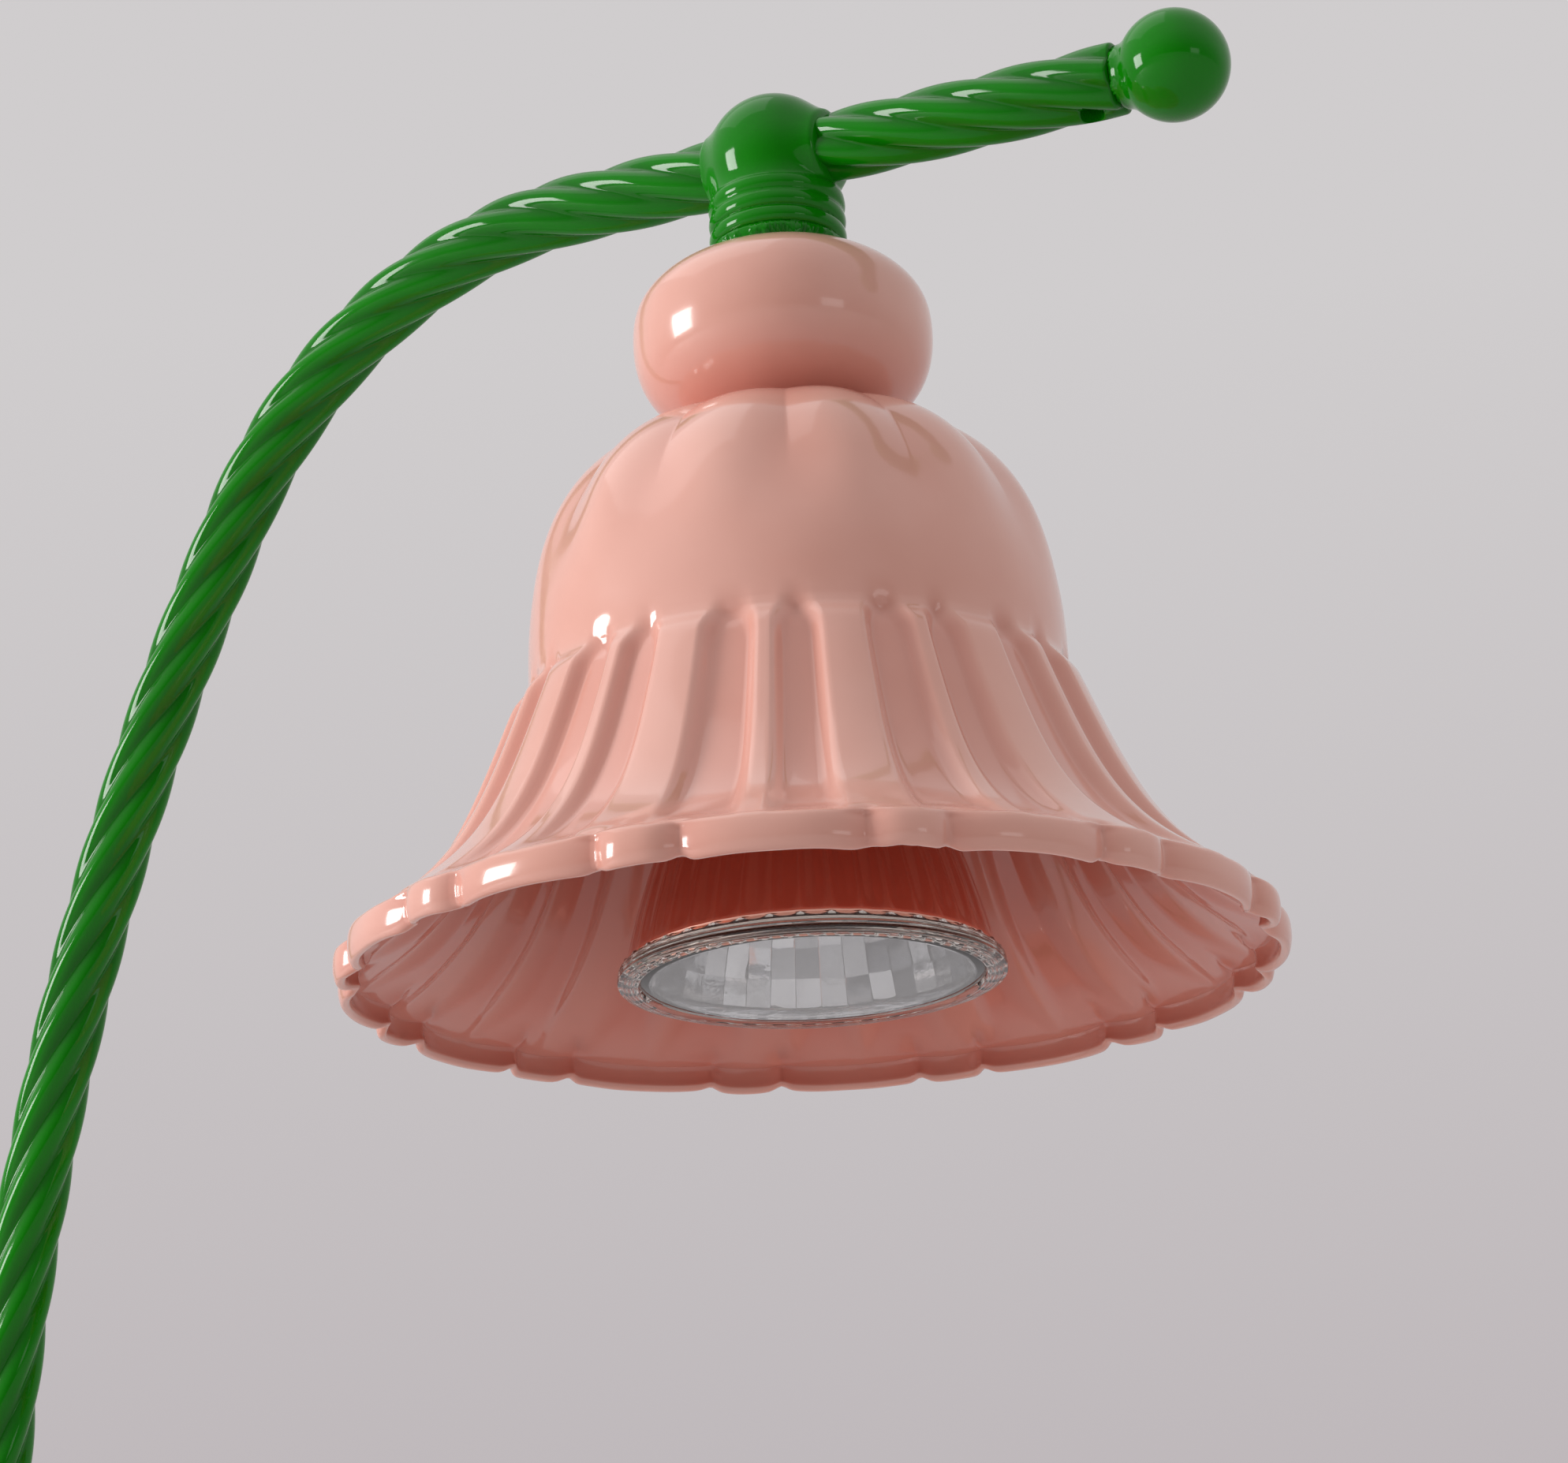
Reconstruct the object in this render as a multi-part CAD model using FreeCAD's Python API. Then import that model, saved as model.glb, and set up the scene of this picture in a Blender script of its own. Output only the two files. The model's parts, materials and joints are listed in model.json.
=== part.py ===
import FreeCAD, Part
import math
import os

V = FreeCAD.Vector
UP = V(0, 0, 1)
EAST = V(1, 0, 0)
NORTH = V(0, 1, 0)

# Frame: the table is z = 0, the upright's axis is the Z axis and the arm reaches out along +X.
# Lengths are in millimetres, angles in degrees.

# Clearances
fit_gap = 0.1            # between parts that slide together once, at assembly
turn_gap = 0.05          # radial, round a shaft that turns
thread_gap = 0.05        # radial, round a plain cylinder that stands for a thread

# Where the shade hangs
rim_height = 165.0       # lower edge of the shade above the table
reach = 137.5            # upright's axis to the shade's axis

# Shade
rim_radius = 61.0
shade_height = 76.6
shade_wall = 1.5
shoulder_height = 39.8   # where the smooth dome ends and the flutes start
shoulder_radius = 35.4
crown_radius = 13.5      # flat seat on top of the dome
dome_fullness = 2.8      # exponent of the dome's outline: 2 is an ellipse, more is fuller
flute_count = 12
rib_step = 1.3           # how far the ribs stand out from the dome where they start
flute_depth = 1.9
lobe_depth = 1.3
hem_height = 5.5
hem_ledge = 2.2          # how far the hem stands out from the crease above it
hem_edge_round = 0.6
hem_bulge = 2.0          # how deep the creases between its pillows are
points_per_flute = 16

# Bead and coupling
bead_height = 24.7
bead_radius = 20.2
bead_wall = 1.6
ball_radius = 9.3
neck_height = 15.7       # top of the bead to the ball's centre
neck_radius = 9.4
neck_rings = 4
ring_pitch = 2.4
ring_depth = 0.55
boss_radius = 5.6
boss_reach = 9.6         # how far the boss round the arm stands out from the ball's centre
finial_radius = 7.4
weld_neck_radius = 4.3
weld_neck_length = 1.4

# Stem: one twisted tube
stem_radius = 4.9        # over the ridges
ridge_depth = 0.9
ridge_count = 6
twist_lead = 71.0        # length of one full turn of the ridges
stem_bore_radius = 3.1
arm_slope = 4.0          # the arm falls by this much from the arch to its free end
bend_radius = 64.0       # the tight bend at the top of the arch
bend_start = 33.0        # arm's straight length from the shade's axis to that bend
upright_straight = 61.2  # from the collar at the foot to the start of the long bend
stub_length = 52.3       # arm beyond the shade's axis
drain_hole_radius = 1.6
drain_hole_inset = 4.0
station_step = 3.5
points_per_ridge = 8

# Threaded rod and nut under the shade
nipple_radius = 5.0
nipple_bore_radius = 3.5
nipple_engagement = 6.0
nut_width = 14.0         # across flats
nut_height = 4.0
nipple_overhang = 0.6
grub_radius = 2.0
grub_length = 3.6

# Bracket and holder
bracket_thickness = 1.5
bracket_width = 12.0
bracket_half_span = 10.0
holder_length = 36.0
holder_width = 18.0
holder_height = 16.0
holder_screw_offset = 14.3
holder_screw_radius = 1.5

# Bulb: a 50 mm reflector lamp with a twist-and-lock cap
bulb_radius = 25.0
bulb_length = 46.5       # front to the shoulder that meets the holder
bulb_recess = 0.2        # front of the bulb above the shade's lower edge
bulb_wall = 1.5
lip_height = 2.6
lip_step = 1.2
cap_height = 10.0
cap_radius = 11.2
pin_offset = 5.0
pin_radius = 1.6
pin_head_radius = 2.5
pin_length = 7.3
pin_head_height = 2.6
pin_clearance = 0.35
cap_gap = 0.2            # holder's face above the cap, so that the bulb turns
twist_turn = 40.0
capsule_radius = 4.6
capsule_length = 29.5

# Leads
lead_radius = 1.0
lead_offset = 1.15       # half the distance between the two leads in the stem
lead_turn_radius = 4.0
holder_lead_offset = 2.6

# Base
base_radius = 70.0
base_height = 22.0
base_wall = 1.2
base_edge_radius = 6.0
base_flat_radius = 40.0
base_slope_drop = 2.6    # fall of the top between its flat and its rounded edge
stem_setback = 18.0      # upright's axis behind the middle of the base
pad_height = 2.5
pad_radius = 64.0
pad_hole_radius = 4.5    # reaches the cover's screws through the pad
cover_thickness = 1.0
cover_gap = 0.4
weight_gap = 2.8         # radial, between weight and shell
weight_height = 13.0
pocket_start = 6.0       # pocket for the wiring, from the upright's axis
pocket_length = 56.0
pocket_width = 40.0
channel_width = 9.0
cover_screw_circle = 55.0
cover_screw_radius = 1.5
cover_screw_length = 8.0
grommet_angle = 180.0    # the cord's inlet faces backward
grommet_bore_radius = 3.1
grommet_hole_radius = 4.1
grommet_flange_radius = 4.8
grommet_flange = 1.5

# Foot of the stem
stud_radius = 4.0
stud_bore_radius = 2.4
stud_collar_radius = 7.5
stud_collar_height = 2.5
spigot_length = 15.0
stud_seat = 16.5         # height of the face that the washer bears on
washer_thickness = 1.2
washer_radius = 8.0
stud_nut_width = 13.0
stud_nut_height = 4.5
nut_pocket_radius = 9.5
ferrule_radius = 11.0
ferrule_top_radius = 8.3
ferrule_height = 14.0
ferrule_rings = 3

# Wiring in the base
block_length = 16.0
block_width = 22.0
block_height = 9.0
block_start = 13.0
pole_pitch = 7.0
sleeve_radius = 2.2
sleeve_bore_radius = 1.35
terminal_screw_radius = 1.2
terminal_screw_inset = 4.0

# Dimmer
knob_offset = 28.0       # knob's axis ahead of the middle of the base
knob_radius = 9.5
knob_height = 13.0
knob_lift = 0.6
knob_grips = 18
knob_recess_radius = 6.9
knob_recess = 3.6
shaft_radius = 3.0
shaft_above = 11.0
shaft_below = 4.0
flat_depth = 0.5
bushing_radius = 3.6
bushing_above = 2.9
panel_nut_width = 11.0
panel_nut_height = 2.2
case_width = 20.0
case_height = 9.5
case_wall = 1.0
link_level = 14.5        # height of the wires between block and dimmer, at the dimmer

# Heights that follow
shade_top = rim_height + shade_height
bead_top = shade_top + bead_height
ball_height = bead_top + neck_height
dome_underside = shade_top - shade_wall
cap_top = rim_height + bulb_recess + bulb_length
holder_face = cap_top + cap_gap
holder_top = holder_face + holder_height
bracket_underside = dome_underside - bracket_thickness
nipple_top = ball_height - nipple_engagement
nipple_bottom = bracket_underside - nut_height - nipple_overhang
shell_underside = base_height - base_wall
cover_top = pad_height + cover_thickness
weight_top = cover_top + weight_height
grommet_height = (cover_top + base_height - base_slope_drop - base_edge_radius) / 2
wire_level = cover_top + sleeve_radius + 0.8
tube_foot = base_height + stud_collar_height
stud_bottom = stud_seat - washer_thickness - stud_nut_height - 0.5
head_top = holder_face - cap_gap + pin_length
knob_x = stem_setback + knob_offset


def rad(angle):
    return math.radians(angle)


def tube(radius, bore, bottom, top, x=0.0, y=0.0):
    outer = Part.makeCylinder(radius, top - bottom, V(x, y, bottom))
    if bore <= 0:
        return outer
    return outer.cut(Part.makeCylinder(bore, top - bottom, V(x, y, bottom)))


def hexagon_nut(width, height, bore, bottom, x, y=0.0):
    corner = width / 2 / math.cos(rad(30))
    points = [V(x + corner * math.cos(rad(60 * i)), y + corner * math.sin(rad(60 * i)), bottom)
              for i in range(7)]
    body = Part.Face(Part.makePolygon(points)).extrude(V(0, 0, height))
    return body.cut(Part.makeCylinder(bore, height, V(x, y, bottom)))


def revolved(outline, x=0.0, y=0.0):
    # outline is a closed list of (radius, height) turned round a vertical axis at x, y
    points = [V(x + r, y, z) for r, z in outline]
    face = Part.Face(Part.makePolygon(points + points[:1]))
    return face.revolve(V(x, y, 0), UP, 360)


def revolved_edges(edges, x=0.0, y=0.0):
    face = Part.Face(Part.Wire(edges))
    return face.revolve(V(x, y, 0), UP, 360)


def line(a, b):
    return Part.LineSegment(a, b).toShape()


def block(low, high):
    return Part.makeBox(high[0] - low[0], high[1] - low[1], high[2] - low[2], V(*low))


def ring_profile(radius, depth, rings, pitch, bottom):
    # outline of stacked rounded rings, from the bottom up, as points on half circles
    points = []
    for ring in range(rings):
        for step in range(6):
            turn = math.pi * (step + 0.5) / 6
            points.append((radius - depth + depth * math.sin(turn),
                           bottom + pitch * (ring + (1 - math.cos(turn)) / 2)))
    return points


def rounded_route(corners, radii):
    # straight runs joined by tangent arcs, one radius for each inner corner
    edges = []
    start = corners[0]
    for i in range(1, len(corners) - 1):
        before = (corners[i - 1] - corners[i]).normalize()
        after = (corners[i + 1] - corners[i]).normalize()
        half = before.getAngle(after) / 2
        trim = radii[i - 1] / math.tan(half)
        a = corners[i] + before * trim
        b = corners[i] + after * trim
        inward = (before + after).normalize()
        middle = corners[i] + inward * (radii[i - 1] / math.sin(half) - radii[i - 1])
        if (a - start).Length > 1e-6:
            edges.append(line(start, a))
        edges.append(Part.Arc(a, middle, b).toShape())
        start = b
    edges.append(line(start, corners[-1]))
    return edges


def round_wire(edges, radius):
    start = edges[0].valueAt(edges[0].FirstParameter)
    heading = edges[0].tangentAt(edges[0].FirstParameter)
    section = Part.Wire([Part.makeCircle(radius, start, heading)])
    return Part.Wire(edges).makePipeShell([section], True, False)


# The arm's line, with its corners before rounding

def arm_heading():
    return V(math.cos(rad(arm_slope)), 0, -math.sin(rad(arm_slope)))


def ball_centre():
    return V(reach, 0, ball_height)


def arm_corners():
    # the corners of the stem's line and the radius of its long bend: the upright stays straight
    # for its own length, so the long bend takes up whatever reach and height leave
    whole_turn = rad(90 + arm_slope)
    bend_end = ball_centre() - arm_heading() * bend_start
    across = bend_end.x - bend_radius * (1 - math.cos(whole_turn))
    rise = bend_end.z - tube_foot - upright_straight - bend_radius * math.sin(whole_turn)
    lean = 2 * math.atan(across / rise)
    long_radius = bend_radius + rise / math.sin(lean)
    low = V(0, 0, tube_foot + upright_straight + long_radius * math.tan(lean / 2))
    high = bend_end - arm_heading() * (bend_radius * math.tan((whole_turn - lean) / 2))
    return low, high, long_radius


def stem_spine():
    low, high, long_radius = arm_corners()
    end = ball_centre() + arm_heading() * stub_length
    return rounded_route([V(0, 0, tube_foot), low, high, end], [long_radius, bend_radius])


def stem_stations():
    # (point, heading, distance) along the spine, evenly spaced on each edge
    stations = []
    travelled = 0.0
    for edge in stem_spine():
        count = max(2, int(edge.Length / station_step))
        first = 0 if not stations else 1
        for i in range(first, count + 1):
            t = edge.FirstParameter + (edge.LastParameter - edge.FirstParameter) * i / count
            stations.append((edge.valueAt(t), edge.tangentAt(t), travelled + edge.Length * i / count))
        travelled += edge.Length
    return stations


def stem_row(centre, heading, distance):
    side = NORTH
    across = heading.cross(side)
    count = ridge_count * points_per_ridge
    row = []
    for i in range(count):
        angle = 2 * math.pi * i / count
        wave = ridge_count * angle
        ridge = 0.62 + 0.44 * math.cos(wave) - 0.06 * math.cos(2 * wave)
        radius = stem_radius - ridge_depth * (1 - ridge)
        turned = angle + 2 * math.pi * distance / twist_lead
        row.append(centre + side * (radius * math.cos(turned)) + across * (radius * math.sin(turned)))
    return row + row[:1]


def stem_tube():
    surface = Part.BSplineSurface()
    surface.interpolate([stem_row(*station) for station in stem_stations()])
    surface.setVPeriodic()
    skin = surface.toShape()
    ends = [Part.Face(Part.Wire([edge])) for edge in skin.Edges if edge.isClosed()]
    closed = Part.Compound([skin] + ends)
    closed.sewShape()
    solid = Part.makeSolid(closed.Shells[0])
    body = solid.cut(round_wire(stem_spine(), stem_bore_radius))
    lead_way = Part.makeCylinder(lead_hole_radius(), 2 * stem_radius, ball_centre(), -UP)
    drain_at = ball_centre() + arm_heading() * (stub_length - drain_hole_inset)
    drain = Part.makeCylinder(drain_hole_radius, 2 * stem_radius, drain_at, -UP)
    return body.cut(lead_way).cut(drain)


def lead_hole_radius():
    return lead_offset + lead_radius + 0.7


# Shade: a round profile whose radius is cut back by flutes, lobes and the hem's creases

def smooth(value):
    clipped = max(0.0, min(1.0, value))
    return clipped * clipped * (3 - 2 * clipped)


def plateau(angle, centre, width, blur):
    # 1 on a stripe of the flute's pitch, 0 beside it
    pitch = 360.0 / flute_count
    away = abs((angle - centre * pitch + pitch / 2) % pitch - pitch / 2)
    return smooth(0.5 + (width * pitch / 2 - away) / (blur * pitch))


def recess_share(angle):
    narrow_rib = plateau(angle, 0.783, 0.15, 0.1)
    wide_panel = plateau(angle, 0.25, 0.33, 0.1)
    return 1 - max(narrow_rib, wide_panel)


def lobe_share(angle):
    pitch = 360.0 / flute_count
    return 1 - abs(math.sin(math.pi * ((angle + 1.0) % pitch) / pitch))


def hem_share(angle):
    # 1 in the creases between a narrow and a wide pillow, 0 on the crest of each
    pitch = 360.0 / flute_count
    at = (angle / pitch - 0.19) % 1.0
    narrow = 0.32
    along = at / narrow if at < narrow else (at - narrow) / (1 - narrow)
    return abs(2 * along - 1) ** 2.5


def dome_radius_at(share):
    return shoulder_radius * (1 - share ** dome_fullness) ** (1 / dome_fullness)


def flare_radius_at(share):
    growth = 0.62 * share + 0.38 * share ** 5
    start = shoulder_radius + rib_step * smooth(share / 0.12)
    return start + (rim_radius - hem_ledge - start) * growth


def shade_stations():
    # (radius, height, lobe, flute, hem): the last three say how strongly each pattern cuts
    seat_share = (1 - (crown_radius / shoulder_radius) ** dome_fullness) ** (1 / dome_fullness)
    stations = [(crown_radius, shade_height, 0.0, 0.0, 0.0)]
    for share, lobe in ((0.94, 0.5), (0.85, 0.9), (0.7, 1.0), (0.5, 0.5), (0.3, 0.1), (0.12, 0.0)):
        height = shoulder_height + (shade_height - shoulder_height) * share / seat_share
        stations.append((dome_radius_at(share), height, lobe, 0.0, 0.0))
    stations.append((shoulder_radius, shoulder_height, 0.0, 0.0, 0.0))
    fall = shoulder_height - hem_height
    for share, flute in ((0.06, 0.85), (0.15, 1.0), (0.35, 1.0), (0.55, 1.0), (0.75, 1.0), (0.9, 0.7)):
        stations.append((flare_radius_at(share), shoulder_height - fall * share, 0.0, flute, 0.0))
    stations.append((rim_radius - hem_ledge, hem_height, 0.0, 0.1, 0.3))
    stations.append((rim_radius - hem_edge_round, hem_height * 0.78, 0.0, 0.0, 0.8))
    stations.append((rim_radius, hem_height * 0.4, 0.0, 0.0, 1.0))
    stations.append((rim_radius - hem_edge_round / 2, 0.0, 0.0, 0.0, 0.9))
    return stations


def shade_section(radius, height, lobe, flute, hem):
    count = flute_count * points_per_flute
    points = []
    for i in range(count):
        angle = 360.0 * i / count
        cut = (lobe * lobe_depth * lobe_share(angle) + flute * flute_depth * recess_share(angle)
               + hem * hem_bulge * hem_share(angle))
        points.append(V(reach + (radius - cut) * math.cos(rad(angle)),
                        (radius - cut) * math.sin(rad(angle)), rim_height + height))
    curve = Part.BSplineCurve()
    curve.interpolate(Points=points, Parameters=[i / count for i in range(count + 1)],
                      PeriodicFlag=True)
    return Part.Wire([curve.toShape()])


def moved_inward(outline, distance):
    # (radius, height) points moved square to their own line, toward the axis, for a line
    # that is read from its foot up
    moved = []
    for i, (radius, height) in enumerate(outline):
        low = outline[max(i - 1, 0)]
        high = outline[min(i + 1, len(outline) - 1)]
        run = math.hypot(high[0] - low[0], high[1] - low[1])
        moved.append((radius - distance * (high[1] - low[1]) / run,
                      height + distance * (high[0] - low[0]) / run))
    return moved


def inner_stations(stations):
    # the same patterns on the outline one wall further in, run on below the lower edge
    outline = [station[:2] for station in reversed(stations)]
    inner = moved_inward(outline, shade_wall)
    inner[0] = (outline[0][0] - shade_wall, -shade_wall)
    inner[-1] = (crown_radius, shade_height - shade_wall)
    return [place + station[2:] for place, station in zip(reversed(inner), stations)]


def shade():
    stations = shade_stations()
    outer = Part.makeLoft([shade_section(*s) for s in stations], True, False)
    inner = Part.makeLoft([shade_section(*s) for s in inner_stations(stations)], True, False)
    hole = Part.makeCylinder(nipple_radius + fit_gap, 4 * shade_wall,
                             V(reach, 0, shade_top - 3 * shade_wall))
    return outer.cut(inner).cut(hole)


def bead_outline():
    # (radius, height) from the bead's foot up to its shoulder
    shares = ((0.46, 0.0), (0.684, 0.096), (0.835, 0.179), (0.947, 0.304), (1.0, 0.54), (0.965, 0.71),
              (0.86, 0.83), (0.68, 0.93), (0.46, 1.0))
    return [(bead_radius * across, shade_top + bead_height * up) for across, up in shares]


def bead_body(outline):
    points = [V(reach + r, 0, z) for r, z in outline]
    curve = Part.BSplineCurve()
    curve.interpolate(points)
    foot = V(reach, 0, points[0].z)
    head = V(reach, 0, points[-1].z)
    return revolved_edges([line(foot, points[0]), curve.toShape(), line(points[-1], head),
                           line(head, foot)], reach)


def bead_hollow():
    # the outline moved one wall inward, its ends level with the inside of foot and shoulder
    outer = bead_outline()
    inner = moved_inward(outer, bead_wall)
    foot = (outer[0][0], outer[0][1] + bead_wall)
    head = (outer[-1][0], outer[-1][1] - bead_wall)
    return [foot] + inner[2:-2] + [head]


def bead_cover():
    shell = bead_body(bead_outline()).cut(bead_body(bead_hollow()))
    hole = Part.makeCylinder(nipple_radius + fit_gap, bead_height, V(reach, 0, shade_top))
    return shell.cut(hole)


def ball_coupling():
    centre = ball_centre()
    neck = [(0, bead_top)]
    neck += ring_profile(neck_radius, ring_depth, neck_rings, ring_pitch, bead_top)
    neck += [(neck_radius - ring_depth, ball_height), (0, ball_height)]
    body = Part.makeSphere(ball_radius, centre).fuse(revolved(neck, reach))
    boss_start = centre - arm_heading() * boss_reach
    boss = Part.makeCylinder(boss_radius, 2 * boss_reach, boss_start, arm_heading())
    ends = [edge for edge in boss.Edges if abs(edge.Length - 2 * math.pi * boss_radius) < 0.01]
    boss = boss.makeChamfer((boss_radius - stem_radius) * 0.6, ends)
    body = body.fuse(boss).removeSplitter()
    arm_bore = Part.makeCylinder(stem_radius + fit_gap, 4 * boss_reach,
                                 centre - arm_heading() * 2 * boss_reach, arm_heading())
    nipple_bore = Part.makeCylinder(nipple_radius + thread_gap, nipple_top - bead_top,
                                    V(reach, 0, bead_top))
    lead_way = Part.makeCylinder(nipple_bore_radius, ball_height - bead_top, V(reach, 0, bead_top))
    grub_hole = Part.makeCylinder(grub_radius + thread_gap, ball_radius, centre, NORTH)
    return body.cut(arm_bore).cut(nipple_bore).cut(lead_way).cut(grub_hole)


def coupling_screw():
    inner = stem_radius + fit_gap
    screw = Part.makeCylinder(grub_radius, grub_length, ball_centre() + NORTH * inner, NORTH)
    mouth = ball_centre() + NORTH * (inner + grub_length / 2)
    socket = Part.makeCylinder(grub_radius / 2, grub_length, mouth, NORTH)
    return screw.cut(socket)


def finial_ball():
    end = ball_centre() + arm_heading() * stub_length
    neck = Part.makeCylinder(weld_neck_radius, weld_neck_length + finial_radius / 2, end, arm_heading())
    centre = end + arm_heading() * (weld_neck_length + finial_radius * 0.9)
    ball = Part.makeSphere(finial_radius, centre)
    return neck.fuse(ball).removeSplitter()


def threaded_nipple():
    return tube(nipple_radius, nipple_bore_radius, nipple_bottom, nipple_top, reach)


def shade_nut():
    return hexagon_nut(nut_width, nut_height, nipple_radius + thread_gap,
                       bracket_underside - nut_height, reach)


def holder_bracket():
    half = bracket_width / 2
    outer_side = bracket_half_span + bracket_thickness
    foot_end = holder_screw_offset + 3 * holder_screw_radius
    plate = block((reach - half, -outer_side, bracket_underside), (reach + half, outer_side, dome_underside))
    for side in (-1, 1):
        near, far = sorted((side * bracket_half_span, side * outer_side))
        leg = block((reach - half, near, holder_top), (reach + half, far, dome_underside))
        near, far = sorted((side * bracket_half_span, side * foot_end))
        foot = block((reach - half, near, holder_top), (reach + half, far, holder_top + bracket_thickness))
        hole = Part.makeCylinder(holder_screw_radius + thread_gap, 2 * bracket_thickness,
                                 V(reach, side * holder_screw_offset, holder_top - bracket_thickness / 2))
        plate = plate.fuse(leg).fuse(foot).cut(hole)
    hole = Part.makeCylinder(nipple_radius + fit_gap, 2 * bracket_thickness,
                             V(reach, 0, bracket_underside - bracket_thickness / 2))
    return plate.cut(hole).removeSplitter()


def on_pin_circle(radius, angle, height):
    return V(reach + radius * math.cos(rad(angle)), radius * math.sin(rad(angle)), height)


def curved_slot(side, half_width, bottom, top):
    # the way of one pin over the whole twist, with round ends
    start = side * 90
    end = start + twist_turn
    near = pin_offset - half_width
    far = pin_offset + half_width
    spots = ((far, start), (far, (start + end) / 2), (far, end), (near, end), (near, (start + end) / 2),
             (near, start))
    a, b, c, d, e, f = [on_pin_circle(radius, angle, bottom) for radius, angle in spots]
    last_cap = on_pin_circle(pin_offset, end, bottom) + along_twist(end) * half_width
    first_cap = on_pin_circle(pin_offset, start, bottom) - along_twist(start) * half_width
    arcs = [Part.Arc(a, b, c), Part.Arc(c, last_cap, d), Part.Arc(d, e, f), Part.Arc(f, first_cap, a)]
    outline = Part.Wire([arc.toShape() for arc in arcs])
    return Part.Face(outline).extrude(UP * (top - bottom))


def along_twist(angle):
    return V(-math.sin(rad(angle)), math.cos(rad(angle)), 0)


def keyhole(side):
    # room for one pin and its head over the whole twist, and the round way out at its end
    low = holder_face - 1
    shelf = head_top - pin_head_height - pin_clearance
    ceiling = head_top + pin_clearance
    neck = curved_slot(side, pin_radius + pin_clearance, low, shelf + 0.5)
    head = curved_slot(side, pin_head_radius + pin_clearance, shelf, ceiling)
    way_out = Part.makeCylinder(pin_head_radius + 1.5 * pin_clearance, ceiling - low,
                                on_pin_circle(pin_offset, side * 90 + twist_turn, low))
    return neck.fuse(head).fuse(way_out)


def contact_box(side, gap):
    near, far = sorted((side * 1.2, side * (pin_offset + 2.2)))
    bottom = head_top + pin_clearance - gap
    return block((reach - 2.2 - gap, near - gap, bottom), (reach + 2.2 + gap, far + gap, bottom + 0.5 + gap))


def lamp_holder():
    half = holder_width / 2
    straight = holder_length / 2 - half
    body = block((reach - half, -straight, holder_face), (reach + half, straight, holder_top))
    for side in (-1, 1):
        body = body.fuse(Part.makeCylinder(half, holder_top - holder_face, V(reach, side * straight, holder_face)))
    body = body.removeSplitter()
    for side in (-1, 1):
        hole = Part.makeCylinder(holder_screw_radius + fit_gap, 2 * holder_height,
                                 V(reach, side * holder_screw_offset, holder_face - 1))
        sink = Part.makeCylinder(2.2 * holder_screw_radius, 2 * holder_screw_radius + 1,
                                 V(reach, side * holder_screw_offset, holder_face - 1))
        lead_way = Part.makeCylinder(lead_radius + fit_gap, holder_height,
                                     V(reach, side * holder_lead_offset, head_top))
        body = body.cut(hole).cut(sink).cut(keyhole(side)).cut(contact_box(side, fit_gap)).cut(lead_way)
    return body


def contact_top():
    return head_top + pin_clearance + 0.5


def holder_contacts():
    return Part.Compound([contact_box(side, 0.0) for side in (-1, 1)])


def holder_screws():
    screws = []
    for side in (-1, 1):
        y = side * holder_screw_offset
        head = Part.makeCylinder(2 * holder_screw_radius, 1.6 * holder_screw_radius,
                                 V(reach, y, holder_face + 0.4 * holder_screw_radius))
        shank = Part.makeCylinder(holder_screw_radius, holder_top + bracket_thickness - holder_face - 1,
                                  V(reach, y, holder_face + 1))
        slot = block((reach - 3 * holder_screw_radius, y - 0.3, holder_face - 1),
                     (reach + 3 * holder_screw_radius, y + 0.3, holder_face + 1.2))
        screws.append(head.fuse(shank).cut(slot))
    return Part.Compound(screws)


# Bulb

def bulb_front():
    return rim_height + bulb_recess


def reflector_outline(inset):
    # (radius, height above the front) of the bowl, from under the lip to the cap
    neck = cap_radius - 0.4
    bowl = bulb_radius - lip_step
    depth = bulb_length - cap_height - lip_height
    points = []
    for share in (0.0, 0.2, 0.4, 0.6, 0.8, 1.0):
        radius = neck + (bowl - neck) * (1 - share ** 1.25) ** 0.9
        points.append(V(reach + radius - inset, 0, bulb_front() + lip_height + depth * share))
    return points


def bulb_reflector():
    front = bulb_front()
    bowl = reflector_outline(0)
    hollow = reflector_outline(bulb_wall)
    outer = Part.BSplineCurve()
    outer.interpolate(bowl)
    inner = Part.BSplineCurve()
    inner.interpolate(hollow)
    lip_low = V(reach + bulb_radius - 0.6, 0, front)
    lip = [lip_low, V(reach + bulb_radius, 0, front + 0.6), V(reach + bulb_radius, 0, front + lip_height - 0.6),
           V(reach + bulb_radius - 0.6, 0, front + lip_height), bowl[0]]
    seat = V(reach + bulb_radius - lip_step - bulb_wall, 0, front)
    edges = [line(a, b) for a, b in zip(lip, lip[1:])]
    edges += [outer.toShape(), line(bowl[-1], hollow[-1]), inner.toShape(), line(hollow[0], seat),
              line(seat, lip_low)]
    return revolved_edges(edges, reach)


def bulb_front_glass():
    radius = bulb_radius - lip_step - bulb_wall - 0.05
    return tube(radius, 0, bulb_front() + 0.5, bulb_front() + 2.0, reach)


def bulb_base():
    bottom = cap_top - cap_height
    cup = tube(cap_radius, 0, bottom, cap_top, reach)
    socket = Part.makeCylinder(capsule_radius + fit_gap, cap_height / 2, V(reach, 0, bottom))
    return cup.cut(socket)


def bulb_capsule():
    top = cap_top - cap_height / 2
    low = top - cap_height / 2 - capsule_length
    burner = Part.makeCylinder(capsule_radius, top - low - capsule_radius, V(reach, 0, low + capsule_radius))
    return burner.fuse(Part.makeSphere(capsule_radius, V(reach, 0, low + capsule_radius))).removeSplitter()


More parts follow.
